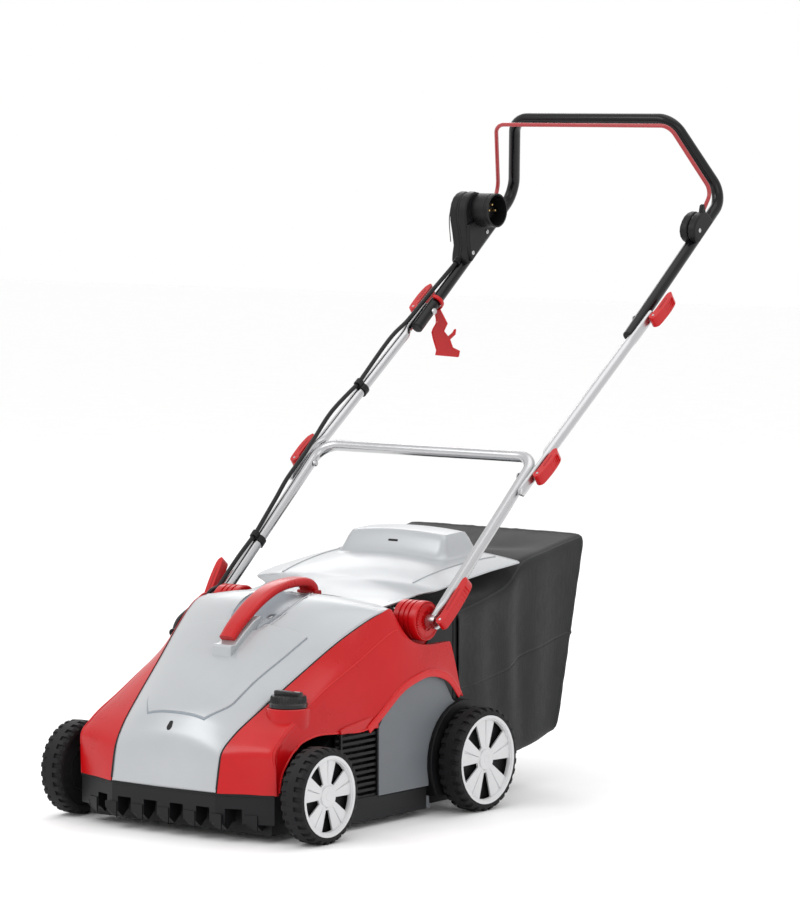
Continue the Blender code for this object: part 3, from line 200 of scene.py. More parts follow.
# Slot, colour, roughness and the rest of each surface; slot, colour and threads of each cloth.
SURFACES = {
    "silver": ("silver_shell", (0.43, 0.445, 0.46), 0.34, dict(metal=0.3, coat=0.25, grain=2600, bump=0.03, vary=0.03,
                                                               rough_vary=0.05, dust=0.02)),
    "white_strip": ("silver_shell", (0.6, 0.61, 0.62), 0.36, dict(grain=1200, bump=0.03, vary=0.03)),
    # Slate grey, darker than the silver: painted shade in the dish under the carry grip; also the dark joint line round
    # the tongue.
    "dish": ("silver_shell", (0.24, 0.275, 0.31), 0.38, dict(metal=0.15, coat=0.2, grain=1800, bump=0.04, vary=0.05)),
    "red": ("red_shell", (0.46, 0.002, 0.004), 0.3, dict(coat=0.12, ior=1.36, grain=1400, bump=0.035, vary=0.06,
                                                          dust=0.03)),
    # A lighter copy of the red plastic: painted highlight on lips, creases, the arch rim, lever ridges and the hook's
    # rib.
    "red_painted_highlight": ("red_shell", (0.54, 0.006, 0.008), 0.32, dict(coat=0.12, ior=1.36, grain=1400, bump=0.03, vary=0.05)),
    # A darker copy of the red plastic: painted shade in the lever grooves, under the carry grip and on the fin beside
    # the boss.
    "red_painted_shade": ("red_shell", (0.33, 0.004, 0.006), 0.4, dict(coat=0.1, ior=1.36, grain=1400, bump=0.04, vary=0.08)),
    "black": ("black_plastic", (0.006, 0.006, 0.007), 0.46, dict(ior=1.33, grain=1500, bump=0.12, vary=0.2, dust=0.02)),
    "black_gloss": ("black_plastic", (0.006, 0.006, 0.007), 0.22, dict(coat=0.25, ior=1.33, grain=500, bump=0.02,
                                                                       vary=0.1, rough_vary=0.06)),
    "gap": ("black_plastic", (0.006, 0.006, 0.006), 0.8, dict(grain=900, bump=0.1)),
    "grey": ("grey_plastic", (0.13, 0.14, 0.152), 0.5, dict(grain=1500, bump=0.12, vary=0.08, dust=0.03)),
    "rubber": ("rubber", (0.007, 0.007, 0.008), 0.66, dict(ior=1.33, grain=700, bump=0.22, vary=0.25, dust=0.03)),
    # A lighter grey copy of the tyre rubber: painted sheen on the smooth band of the tyre wall.
    "rubber_painted_sheen": ("rubber", (0.022, 0.022, 0.024), 0.55, dict(ior=1.36, grain=900, bump=0.12, vary=0.2, dust=0.02)),
    "rim": ("white_rim", (0.6, 0.6, 0.61), 0.38, dict(coat=0.15, grain=1500, bump=0.05, vary=0.04, dust=0.02)),
    # Black for the wheel's inside: painted shade on the back disc seen through the rim's windows, on its inner face and
    # on its hub.
    "rim_painted_shade": ("black_plastic", (0.01, 0.01, 0.011), 0.55, dict(ior=1.33, grain=1200, bump=0.12, vary=0.2)),
    "bare": ("bare_tube", (0.5, 0.5, 0.51), 0.24, dict(metal=1.0, grain=1500, bump=0.04, vary=0.05, rough_vary=0.07,
                                                         stretch=(1, 0.12, 0.12))),
    "tube_black": ("black_tube", (0.003, 0.003, 0.004), 0.2, dict(coat=0.1, ior=1.33, grain=900, bump=0.012,
                                                                   vary=0.1)),
    "steel": ("steel", (0.5, 0.5, 0.51), 0.34, dict(metal=1.0, grain=1800, bump=0.08, vary=0.12)),
    "motor": ("motor_metal", (0.22, 0.22, 0.23), 0.45, dict(metal=0.9, grain=900, bump=0.15, vary=0.15)),
    "cable": ("black_plastic", (0.007, 0.007, 0.008), 0.42, dict(ior=1.36, grain=700, bump=0.06, vary=0.2)),
    "belt": ("belt_rubber", (0.02, 0.02, 0.02), 0.7, dict(grain=800, bump=0.25, vary=0.2)),
    "brass": ("steel", (0.7, 0.5, 0.22), 0.3, dict(metal=1.0, grain=1500, bump=0.05)),
    "rod_red": ("red_rod", (0.34, 0.012, 0.016), 0.33, dict(coat=0.4, grain=900, bump=0.03, vary=0.08)),
}
CLOTHS = {
    "fabric": ("bag_fabric", (0.008, 0.008, 0.009)),
    "webbing": ("bag_fabric", (0.018, 0.018, 0.02), 700.0),
}
MATS = {name: surface(name, colour, rough, **more) for name, (_, colour, rough, more) in SURFACES.items()}
MATS.update({name: weave(name, *given) for name, (_, *given) in CLOTHS.items()})


# ---------------------------------------------------------------- making pieces
def dress(obj, mat, body=None, *nodes):
    """Gives a piece its material and body, and hides the CAD nodes it stands for."""
    obj.data.materials.clear()
    obj.data.materials.append(MATS[mat])
    if body:
        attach(obj, body)
    if nodes:
        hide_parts(*nodes)
    return obj


def mesh_object(name, points, faces, angle=35):
    mesh = bpy.data.meshes.new(name)
    mesh.from_pydata([tuple(p) for p in points], [], faces)
    mesh.validate()
    bm = bmesh.new()
    bm.from_mesh(mesh)
    bmesh.ops.remove_doubles(bm, verts=bm.verts, dist=1e-7)
    bmesh.ops.recalc_face_normals(bm, faces=bm.faces)
    bm.to_mesh(mesh)
    bm.free()
    obj = bpy.data.objects.new(name, mesh)
    bpy.context.scene.collection.objects.link(obj)
    mesh.shade_smooth()
    mesh.set_sharp_from_angle(angle=math.radians(angle))
    return obj


def bevel(obj, width, segments=3, angle=40):
    mod = obj.modifiers.new("Bevel", "BEVEL")
    mod.width = width
    mod.segments = segments
    mod.limit_method = "ANGLE"
    mod.angle_limit = math.radians(angle)
    mod.harden_normals = True
    return obj


def spline(points, steps):
    """Points on a smooth curve through the given ones, with a number of steps in each span."""
    p = [Vector(q) for q in points]
    out = []
    for k in range(len(p) - 1):
        a, b, c, d = p[max(k - 1, 0)], p[k], p[k + 1], p[min(k + 2, len(p) - 1)]
        for s in range(steps):
            t = s / steps
            out.append(0.5 * (2 * b + (c - a) * t + (2 * a - 5 * b + 4 * c - d) * t * t
                              + (3 * b - a - 3 * c + d) * t ** 3))
    return out + [p[-1]]


def rounded(corners, radius, steps=10):
    """A path of straight runs with rounded corners."""
    p = [Vector(c) for c in corners]
    out = [p[0]]
    for a, b, c in zip(p, p[1:], p[2:]):
        u, v = (a - b).normalized(), (c - b).normalized()
        half = math.acos(max(-1, min(1, -u.dot(v)))) / 2
        if half < 0.01:
            out.append(b)
            continue
        reach = min(radius * math.tan(half), (a - b).length * 0.49, (c - b).length * 0.49)
        r = reach / math.tan(half)
        middle = b + (u + v).normalized() * (r / math.cos(half))
        first, last = (b + u * reach - middle).normalized(), (b + v * reach - middle).normalized()
        for k in range(steps + 1):
            out.append(middle + first.slerp(last, k / steps) * r)
    return out + [p[-1]]


def sweep(name, path, section, angle=35):
    """A skin along a path. section(k, share) gives (u, v) points about the path, v lying nearest to up."""
    rings, count = [], len(path)
    side = None
    for k, p in enumerate(path):
        before, after = path[max(k - 1, 0)], path[min(k + 1, count - 1)]
        ahead = (after - before).normalized()
        if side is None:
            side = ahead.cross(Vector((0, 0, 1)))
            if side.length < 1e-3:
                side = ahead.cross(Vector((0, 1, 0)))
        side = (side - ahead * side.dot(ahead)).normalized()
        up = side.cross(ahead)
        rings.append([p + side * u + up * v for u, v in section(k, k / max(count - 1, 1))])
    n = len(rings[0])
    points = [q for ring in rings for q in ring]
    faces = [(k * n + j, k * n + (j + 1) % n, (k + 1) * n + (j + 1) % n, (k + 1) * n + j)
             for k in range(count - 1) for j in range(n)]
    faces += [tuple(range(n))[::-1], tuple((count - 1) * n + j for j in range(n))]
    return mesh_object(name, points, faces, angle)


def circle(radius, sides=28):
    return [(radius * math.cos(2 * math.pi * j / sides), radius * math.sin(2 * math.pi * j / sides))
            for j in range(sides)]


def tube(name, path, radius, mat, body, *nodes, sides=28):
    ring = circle(radius, sides)
    return dress(sweep(name, path, lambda k, s: ring), mat, body, *nodes)


def turned(name, profile, centre, mat, body, *nodes, axis="X", steps=64, angle=30, side=1):
    """A turned piece from (radius, height) points along an axis, mirrored where side is -1."""
    profile = [(r, side * h) for r, h in profile][::side]
    points, faces = [], []
    n = len(profile)
    for k in range(steps):
        a = 2 * math.pi * k / steps
        for r, h in profile:
            local = (r * math.cos(a), r * math.sin(a))
            points.append({"X": Vector((h, local[0], local[1])), "Z": Vector((local[0], local[1], h)),
                           "Y": Vector((local[0], h, local[1]))}[axis] + centre)
    for k in range(steps):
        m = (k + 1) % steps
        for j in range(n):
            i = (j + 1) % n
            faces.append((k * n + j, k * n + i, m * n + i, m * n + j))
    return dress(mesh_object(name, points, faces, angle), mat, body, *nodes)


def slab(name, outline, origin, u, v, depth, mat, body, *nodes, edge=0.0008, segments=2):
    """A flat piece: an outline in the plane of u and v through an origin, made thick on both sides."""
    u, v = Vector(u), Vector(v)
    w = u.cross(v).normalized() * (depth / 2)
    n = len(outline)
    flat = [Vector(origin) + u * a + v * b for a, b in outline]
    points = [p - w for p in flat] + [p + w for p in flat]
    faces = [tuple(range(n))[::-1], tuple(range(n, 2 * n))]
    faces += [(k, (k + 1) % n, n + (k + 1) % n, n + k) for k in range(n)]
    obj = mesh_object(name, points, faces, 40)
    if edge > 0:
        bevel(obj, edge, segments)
    return dress(obj, mat, body, *nodes)


def side_slab(name, outline, x, depth, mat, body, *nodes, **edges):
    """A slab seen from the side: an outline of (y, z) from the front axle, at a place across the machine."""
    return slab(name, outline, (x, Y0, 0), (0, 1, 0), (0, 0, 1), depth, mat, body, *nodes, **edges)


def arc(centre, radius, start, end, steps):
    angles = [math.radians(start + (end - start) * k / steps) for k in range(steps + 1)]
    return [(centre[0] + radius * math.cos(a), centre[1] + radius * math.sin(a)) for a in angles]


def grid(name, rows, thickness, angle=40, offset=-1.0):
    """A shell through a grid of points, made thick towards its inner side."""
    n = len(rows[0])
    points = [p for row in rows for p in row]
    faces = [(r * n + c, r * n + c + 1, (r + 1) * n + c + 1, (r + 1) * n + c)
             for r in range(len(rows) - 1) for c in range(n - 1)]
    mesh = bpy.data.meshes.new(name)
    mesh.from_pydata([tuple(p) for p in points], [], faces)
    obj = bpy.data.objects.new(name, mesh)
    bpy.context.scene.collection.objects.link(obj)
    mesh.shade_smooth()
    mesh.set_sharp_from_angle(angle=math.radians(angle))
    mod = obj.modifiers.new("Solidify", "SOLIDIFY")
    mod.thickness = thickness
    mod.offset = offset
    mod.use_even_offset = True
    return obj


def refined(rows, across, down):
    """A grid of points with smooth curves through it both ways."""
    wide = [spline(row, across) for row in rows]
    columns = [spline([row[c] for row in wide], down) for c in range(len(wide[0]))]
    return [[column[r] for column in columns] for r in range(len(columns[0]))]


def both(make):
    for side, sign in SIDES:
        make(side, sign)


# ---------------------------------------------------------------- hood
HOOD_EDGE = [(-0.087, 0.0795, 0.1105), (-0.0785, 0.126, 0.1107), (-0.0705, 0.148, 0.111), (-0.048, 0.171, 0.117),
             (-0.0255, 0.188, 0.123), (0.019, 0.218, 0.135), (0.083, 0.2605, 0.1515), (0.151, 0.305, 0.171),
             (0.205, 0.335, 0.187), (0.24, 0.349, 0.195), (0.268, 0.353, 0.197)]
HOOD_CROWN = [(-0.088, 0.0795), (-0.085, 0.132), (-0.079, 0.162), (-0.064, 0.186), (-0.045, 0.2065),
              (0.0, 0.2375), (0.066, 0.281), (0.132, 0.327), (0.188, 0.36), (0.238, 0.372), (0.306, 0.3625)]
DISH_Y, DISH_LONG, DISH_WIDE, DISH_DEEP = 0.195, 0.085, 0.058, 0.03
HOOD_STATIONS = spline([(ye, ze, w) for ye, ze, w in HOOD_EDGE], 8)
CROWN_STATIONS = spline([(yc, zc, 0.0) for yc, zc in HOOD_CROWN], 8)


def hood_point(k, t):
    """A point of the hood at a station and a share of its half width."""
    ye, ze, w = HOOD_STATIONS[k]
    yc, zc, _ = CROWN_STATIONS[k]
    bow = 1 - abs(t) ** 2.6
    x, y, z = w * t, ye + (yc - ye) * bow, ze + (zc - ze) * bow
    near = 1 - ((y - DISH_Y) / DISH_LONG) ** 2 - (x / DISH_WIDE) ** 2
    if near > 0:
        z -= DISH_DEEP * near ** 0.8
    return x, y, z


COLUMNS = [k / 32 for k in range(-32, 33)]
hood_rows = [[at(*hood_point(k, t)) for t in COLUMNS] for k in range(len(HOOD_STATIONS))]
dress(grid("hood_shell", hood_rows, SHELL), "silver", "housing", "hood")


def hood_height(x, y):
    """Height of the hood's outer face above a point, from the two stations about it."""
    def section(k):
        t, step = 0.0, 0.5
        for _ in range(24):
            found = hood_point(k, t)
            t += step if found[0] < abs(x) else -step
            t, step = min(max(t, 0.0), 1.0), step / 2
        return hood_point(k, t)

    low, high = 8, len(HOOD_STATIONS) - 1
    while high - low > 1:
        middle = (low + high) // 2
        if section(middle)[1] < y:
            low = middle
        else:
            high = middle
    a, b = section(low), section(high)
    share = (y - a[1]) / max(b[1] - a[1], 1e-6)
    return a[2] + (b[2] - a[2]) * share


TONGUE = [(-0.054, 0.06), (-0.038, 0.075), (-0.019, 0.088), (0.005, 0.0925), (0.029, 0.096), (0.05, 0.101),
          (0.072, 0.1075), (0.094, 0.1145), (0.116, 0.121), (0.134, 0.1265)]


def hood_panel(name, edge, lift, spread, mat, thickness):
    """A thin panel that lies on the hood inside an outline of (y, half width)."""
    rows = []
    fine = spline([(y, w, 0.0) for y, w in edge], 4)
    for y, w, _ in fine:
        w += spread
        rows.append([at(w * t, y, hood_height(w * t, y) + lift)
                     for t in [c / 16 for c in range(-16, 17)]])
    return dress(grid(name, rows, thickness, offset=-1.0), mat, "housing")


hood_panel("hood_tongue_gap", [(y - 0.0013 if k == 0 else y, w) for k, (y, w) in enumerate(TONGUE)], 0.0004, 0.0011,
           "dish", 0.0008)
bevel(hood_panel("hood_tongue", TONGUE, 0.0034, 0.0, "silver", 0.0038), 0.002, 4, 50)

# A slate grey liner laid in the dish under the carry grip: painted shade in the recess.
rings = []
for share in [k / 14 for k in range(1, 15)]:
    ring = []
    for c in range(64):
        a = 2 * math.pi * c / 64
        x, y = DISH_WIDE * 0.985 * share * math.cos(a), DISH_Y + DISH_LONG * 0.985 * share * math.sin(a)
        ring.append(at(x, y, hood_height(x, y) + 0.0007))
    rings.append(ring + ring[:1])
dress(grid("dish_painted_shade_liner", rings, 0.0012, offset=0.0), "dish", "housing")
rim_path = []
for c in range(96):
    a = 2 * math.pi * c / 96
    x, y = DISH_WIDE * math.cos(a), DISH_Y + DISH_LONG * math.sin(a)
    rim_path.append(at(x, y, hood_height(x, y) + 0.0002))
tube("dish_edge", rim_path + rim_path[:1], 0.0011, "silver", "housing", sides=10)


def drop_mark():
    """The small dark drop-shaped mark at the front of the hood, on the centre line."""
    k = 19
    outline = []
    for c in range(24):
        a = 2 * math.pi * c / 24
        outline.append((0.005 * math.cos(a), 0.0068 * math.sin(a) + (0.004 if math.sin(a) > 0.6 else 0.0)))
    a, b = Vector(hood_point(k, 0.0)), Vector(hood_point(k + 4, 0.0))
    up = (b - a).normalized()
    middle = at(*((a + b) / 2))
    slab("hood_drop_mark", outline, middle, (1, 0, 0), up, 0.0016, "gap", "housing", edge=0.0003)


drop_mark()

# Dark joint line beside the hood on both sides, under the covers' inner edges.
both(lambda side, sign: tube(f"hood_seam_{side}", [at(sign * (w + 0.0018), y, z - 0.0032)
                                                   for y, z, w in HOOD_STATIONS[2:]], 0.0019, "gap", "housing",
                             sides=8))

# ---------------------------------------------------------------- carry handle
GRIP = spline([(0.079, 0.308, 0.0155), (0.098, 0.326, 0.0165), (0.12, 0.342, 0.0175), (0.152, 0.362, 0.0182),
               (0.19, 0.3785, 0.0185), (0.226, 0.386, 0.0185), (0.26, 0.3875, 0.0183), (0.283, 0.3845, 0.018),
               (0.296, 0.3765, 0.0176), (0.3, 0.3665, 0.017)], 6)


def oval(half_w, half_t, sides=32, power=3.2):
    out = []
    for j in range(sides):
        a = 2 * math.pi * j / sides
        c, s = math.cos(a), math.sin(a)
        out.append((half_w * math.copysign(abs(c) ** (2 / power), c), half_t * math.copysign(abs(s) ** (2 / power), s)))
    return out


grip_path = [at(0.0, y, z) for y, z, _ in GRIP]
grip = sweep("carry_grip", grip_path, lambda k, s: oval(GRIP[k][2], 0.0078 - 0.0008 * math.cos(math.pi * s)))
dress(grip, "red", "housing", "carry_handle")
pedestal = [(0.061, 0.27), (0.061, 0.2965), (0.064, 0.3), (0.076, 0.3), (0.1, 0.319), (0.124, 0.335),
            (0.142, 0.342), (0.146, 0.338), (0.13, 0.318), (0.112, 0.29)]
side_slab("grip_pedestal", pedestal, 0.0015, 0.04, "silver", "housing", edge=0.003, segments=4)
# The foot under the grip's rear end is in the darker red: painted shade under the grip.
slab("grip_rear_foot", [(-0.02, 0.29), (0.02, 0.29), (0.02, 0.308), (-0.02, 0.308)], (0, Y0, 0.3665),
     (1, 0, 0), (0, 1, 0), 0.008, "red_painted_shade", "housing", edge=0.0015)

# ---------------------------------------------------------------- side covers
CREASE = [(0.2062, -0.053, 0.079), (0.206, -0.055, 0.122), (0.2035, -0.056, 0.149), (0.2015, -0.036, 0.168),
          (0.2, -0.012, 0.184), (0.198, 0.03, 0.206), (0.1985, 0.095, 0.24), (0.203, 0.165, 0.272),
          (0.208, 0.218, 0.3), (0.211, 0.25, 0.316), (0.214, 0.272, 0.318), (0.219, 0.305, 0.296),
          (0.2225, 0.345, 0.287), (0.224, 0.401, 0.286)]
LOWER = [(0.2085, -0.044, 0.079), (0.21, -0.038, 0.112), (0.212, -0.018, 0.14), (0.213, -0.004, 0.151),
         (0.214, 0.012, 0.161), (0.216, 0.052, 0.168), (0.219, 0.1, 0.166), (0.225, 0.172, 0.166),
         (0.2285, 0.222, 0.203), (0.23, 0.252, 0.223), (0.2305, 0.285, 0.238), (0.231, 0.335, 0.2475),
         (0.231, 0.385, 0.234), (0.231, 0.424, 0.195)]
TOP_REAR = [(0.205, 0.29, 0.302), (0.208, 0.335, 0.289), (0.21, 0.4, 0.288)]


def cover_rows():
    rows = []
    inner = [(w + COVER_GAP, y, z - 0.0005) for y, z, w in HOOD_EDGE] + TOP_REAR
    for a, b, c in zip(inner, CREASE, LOWER):
        a, b, c = Vector(a), Vector(b), Vector(c)
        swell = Vector((0.0015, 0.0, 0.002))
        rows.append([a, a.lerp(b, 0.5) + swell * 0.6, b, b.lerp(c, 0.35) + swell * 0.5, b.lerp(c, 0.7), c])
    return rows


COVER = refined(cover_rows(), 5, 5)


def side_cover(side, sign):
    rows = [[at(sign * p.x, p.y, p.z) for p in row] for row in COVER]
    if sign < 0:
        rows = [row[::-1] for row in rows]
    cover = grid(f"cover_{side}", rows, SHELL)
    bevel(cover, 0.0006, 2, 60)
    dress(cover, "red", "housing", f"side_cover_{side}")
    edge = [at(sign * (p[-1].x + 0.0004), p[-1].y, p[-1].z) for p in COVER]
    # The lip along the cover's edge is in the lighter red: a painted highlight.
    tube(f"cover_lip_{side}", edge[1:], 0.0017, "red_painted_highlight", "housing", sides=10)
    # The crease line is in the lighter red: a painted highlight along it.
    crease = [at(sign * (p[10].x + 0.0001), p[10].y, p[10].z + 0.0002) for p in COVER[6:-16]]
    tube(f"cover_crease_{side}", crease, 0.0011, "red_painted_highlight", "housing", sides=8)
    # The rim round the arch above the grey panel, in a lighter red that is a painted highlight, and the lip over the
    # vents.
    rim = spline([(0.2255, 0.172, 0.166), (0.2275, 0.204, 0.188), (0.2295, 0.25, 0.221),
                  (0.231, 0.285, 0.2365), (0.2315, 0.335, 0.2455), (0.2315, 0.385, 0.232),
                  (0.2315, 0.418, 0.2)], 8)
    flange = sweep(f"arch_flange_{side}", [at(sign * p.x, p.y, p.z - 0.003) for p in rim],
                   lambda k, s: oval(0.0014, 0.0066, 16))
    dress(flange, "red_painted_highlight", "housing")
    side_slab(f"vent_lip_{side}", [(0.1, 0.1635), (0.2015, 0.1635), (0.2015, 0.17), (0.185, 0.185), (0.112, 0.174),
                                   (0.1, 0.17)], sign * 0.2215, 0.006, "red", "housing", edge=0.0016)


both(side_cover)

# Seat of the depth knob: a turned socket that rises from the right cover.
kx, ky = KNOB
seat = [(0.032, 0.17), (0.0362, 0.17), (0.0368, 0.208), (0.0362, 0.2118), (0.0346, 0.213), (0.0328, 0.2126),
        (0.0322, 0.21)]
turned("knob_seat", seat, at(kx, ky, 0), "red", "housing", axis="Z")
turned("knob_seat_ring", [(0.03, 0.2085), (0.034, 0.2085), (0.034, 0.2105), (0.03, 0.2105)], at(kx, ky, 0),
       "gap", "housing", axis="Z")
# Depth knob: a fluted disc with a raised grip bar.
flutes = 40
knob_points, knob_faces = [], []
profile = [(0.0316, 0.214), (0.0316, 0.2195), (0.03, 0.2215), (0.0296, 0.23), (0.028, 0.2326), (0.0001, 0.233)]
around = flutes * 4
for k in range(around):
    a = 2 * math.pi * k / around
    for j, (r, h) in enumerate(profile):
        if 0 < j < 5 and j != 1:
            r -= 0.0006 * (1 + math.cos(flutes * a))
        knob_points.append(at(kx + r * math.cos(a), ky + r * math.sin(a), h))
for k in range(around):
    m, n = (k + 1) % around, len(profile)
    for j in range(n - 1):
        knob_faces.append((k * n + j, m * n + j, m * n + j + 1, k * n + j + 1))
knob_faces.append(tuple(k * len(profile) for k in range(around))[::-1])
knob_faces.append(tuple(k * len(profile) + len(profile) - 1 for k in range(around)))
dress(mesh_object("knob_disc", knob_points, knob_faces), "black_gloss", "knob", "depth_knob")
bar = [(-0.0262, -0.0062), (0.0262, -0.0062), (0.0275, 0.0), (0.0262, 0.0062), (-0.0262, 0.0062), (-0.0275, 0.0)]
slab("knob_bar", bar, at(kx, ky, 0.235), (1, 0, 0), (0, 1, 0), 0.009, "black_gloss", "knob", edge=0.0022, segments=4)
slab("knob_pointer", [(0.013, -0.001), (0.0235, -0.001), (0.0235, 0.001), (0.013, 0.001)],
     at(kx, ky, 0.23965), (1, 0, 0), (0, 1, 0), 0.0006, "white_strip", "knob", edge=0.0)
turned("knob_stub", [(0.0001, 0.19), (0.0052, 0.19), (0.0052, 0.215), (0.0001, 0.215)], at(kx, ky, 0), "black",
       "knob", axis="Z", steps=24)

# ---------------------------------------------------------------- lower housing
for name in ("base_housing", "bag_frame"):
    dress(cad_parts[name], "black")
for side in ("left", "right"):
    dress(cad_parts[f"side_panel_{side}"], "grey")
    dress(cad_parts[f"vent_grille_{side}"], "black")
    dress(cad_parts[f"bearing_{side}"], "steel")
for name in ("armature", "tine_roller", "front_axle", "rear_axle", "flap_pin"):
    dress(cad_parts[name], "steel")
for name, mat in (("drive_belt", "belt"), ("motor_housing", "motor"), ("roller_pulley", "black")):
    dress(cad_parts[name], mat)


def skirt_trim(side, sign):
    """Frame round the vents, end posts, fender lip and the small foot behind the sill."""
    x = sign * 0.2212
    for k, (y0, y1, z0, z1) in enumerate(((0.1005, 0.105, 0.0505, 0.1635), (0.1985, 0.2008, 0.0505, 0.1635),
                                          (0.1005, 0.2008, 0.048, 0.0515))):
        side_slab(f"vent_frame_{side}_{k}", [(y0, z0), (y1, z0), (y1, z1), (y0, z1)], x, 0.004, "black", "housing",
                  edge=0.0006)
    lip = [at(sign * 0.2322, y, z) for y, z in arc(REAR_AXLE, 0.0983, 92, 212, 40)]
    dress(sweep(f"fender_lip_{side}", lip, lambda k, s: oval(0.0022, 0.0016, 12)), "black", "housing")
    side_slab(f"sill_foot_{side}", [(0.328, 0.012), (0.346, 0.012), (0.343, 0.033), (0.331, 0.033)], sign * 0.219,
              0.006, "grey", "housing", edge=0.001)


both(skirt_trim)


def front_comb():
    """Slanted ribs between the slots of the front bar, its top lip and its small skids."""
    for k in range(7):
        x = (k - 3) * 0.056
        y = -0.0868 if abs(x) < 0.12 else -0.0868 + (abs(x) - 0.1105) * 0.36
        tooth = [(-0.0122, 0.046), (-0.0122, 0.035), (0.0122, 0.0196), (0.0122, 0.046)]
        turn_x = 0.0 if abs(x) < 0.12 else math.copysign(0.36, x)
        slab(f"comb_tooth_{k}", tooth, at(x, y - 0.0008, 0), Vector((1, turn_x, 0)).normalized(), (0, 0, 1), 0.003,
             "black", "housing", edge=0.0007)
        tip = [(y + 0.001, 0.031), (y + 0.0135, 0.0185), (y + 0.027, 0.031)]
        side_slab(f"comb_tip_{k}", tip, x, 0.009, "black", "housing", edge=0.0012)
    plan = [(-0.2068, -0.0525), (-0.1108, -0.0872), (0.1108, -0.0872), (0.2068, -0.0525)]
    for name, z, mat, r in (("comb_top_lip", 0.077, "black", 0.0016),
                            ("comb_joint", 0.0792, "gap", 0.0009)):
        tube(name, rounded([at(x, y, z) for x, y in plan], 0.02, 8), r, mat, "housing", sides=10)


front_comb()

# ---------------------------------------------------------------- rear flap
FLAP_ROWS = [
    (0.3145, 0.351, 0.363, 0.158, 0.034), (0.348, 0.357, 0.372, 0.16, 0.014), (0.38, 0.3645, 0.3835, 0.163, 0.0),
    (0.4, 0.3745, 0.389, 0.196, 0.0), (0.45, 0.384, 0.403, 0.2, 0.0), (0.51, 0.391, 0.416, 0.2, 0.0),
    (0.553, 0.396, 0.42, 0.2, 0.0), (0.6, 0.4, 0.422, 0.2, 0.0), (0.634, 0.403, 0.42, 0.2, 0.0)]


def hump(x, y):
    """Height of the raised handhold across the middle of the flap's rear."""
    side = min(1.0, max(0.0, (0.122 - abs(x)) / 0.022))
    rise = min(1.0, max(0.0, (y - 0.516) / 0.036))
    fall = min(1.0, max(0.0, (0.636 - y) / 0.03))
    ease = [t * t * (3 - 2 * t) for t in (side, rise, fall)]
    return 0.0355 * ease[0] * ease[1] * ease[2]


flap_lines = spline([(y, e, c) for y, e, c, h, f in FLAP_ROWS], 9)
flap_sides = spline([(h, f, 0) for y, e, c, h, f in FLAP_ROWS], 9)
flap_rows = []
for (y, edge, centre), (half, forward, _) in zip(flap_lines, flap_sides):
    row = []
    for c in range(-36, 37):
        share = abs(c) / 36
        x = half * c / 36
        yy = y - max(forward, 0.0) * share ** 2.6
        row.append(at(x, yy, centre + (edge - centre) * share ** 2 + hump(x, yy)))
    flap_rows.append(row)
flap = grid("flap_shell", flap_rows, 0.003)
bevel(flap, 0.0008, 2, 60)
dress(flap, "silver", "flap", "rear_flap")
turned("flap_barrel", [(0.0034, -0.15), (0.007, -0.15), (0.007, 0.15), (0.0034, 0.15)],
       at(0, 0.325, 0.3475), "silver", "flap", steps=32)
side_slab("flap_web", [(0.3212, 0.35), (0.3288, 0.35), (0.33, 0.359), (0.32, 0.356)], 0, 0.296, "silver", "flap",
          edge=0.0005)


def flap_height(x, y):
    """Height of the flap's outer face above a point behind its shoulders."""
    for a, b in zip(flap_lines, flap_lines[1:]):
        if a[0] <= y <= b[0] + 1e-6:
            s = (y - a[0]) / max(b[0] - a[0], 1e-6)
            edge, centre = a[1] + (b[1] - a[1]) * s, a[2] + (b[2] - a[2]) * s
            return centre + (edge - centre) * (abs(x) / 0.2) ** 2 + hump(x, y)
    return flap_lines[-1][2]


ridge = [at(x, y, flap_height(x, y) + 0.0003) for x, y in
         [(0.142 + 0.012 * k / 30, 0.404 + 0.22 * k / 30) for k in range(31)]]
tube("flap_ridge_right", ridge, 0.0016, "silver", "flap", sides=10)
tube("flap_ridge_left", [Vector((-p.x, p.y, p.z)) for p in ridge], 0.0016, "silver", "flap", sides=10)
rear_edge = [at(0.196 * c / 30, 0.6335, flap_height(0.196 * c / 30, 0.6335) - 0.0012) for c in range(-30, 31)]
tube("flap_hem", rear_edge, 0.0022, "silver", "flap", sides=10)
slab("flap_slot_mark", [(-0.0095, -0.002), (0.0095, -0.002), (0.0105, 0.0), (0.0095, 0.002), (-0.0095, 0.002),
                        (-0.0105, 0.0)], at(0.0, 0.534, flap_height(0, 0.534) + 0.0002), (1, 0, 0),
     Vector((0, 0.62, 0.78)), 0.0012, "gap", "flap", edge=0.0003)

# ---------------------------------------------------------------- pivot bosses and hubs
PIVOT_R = 0.034


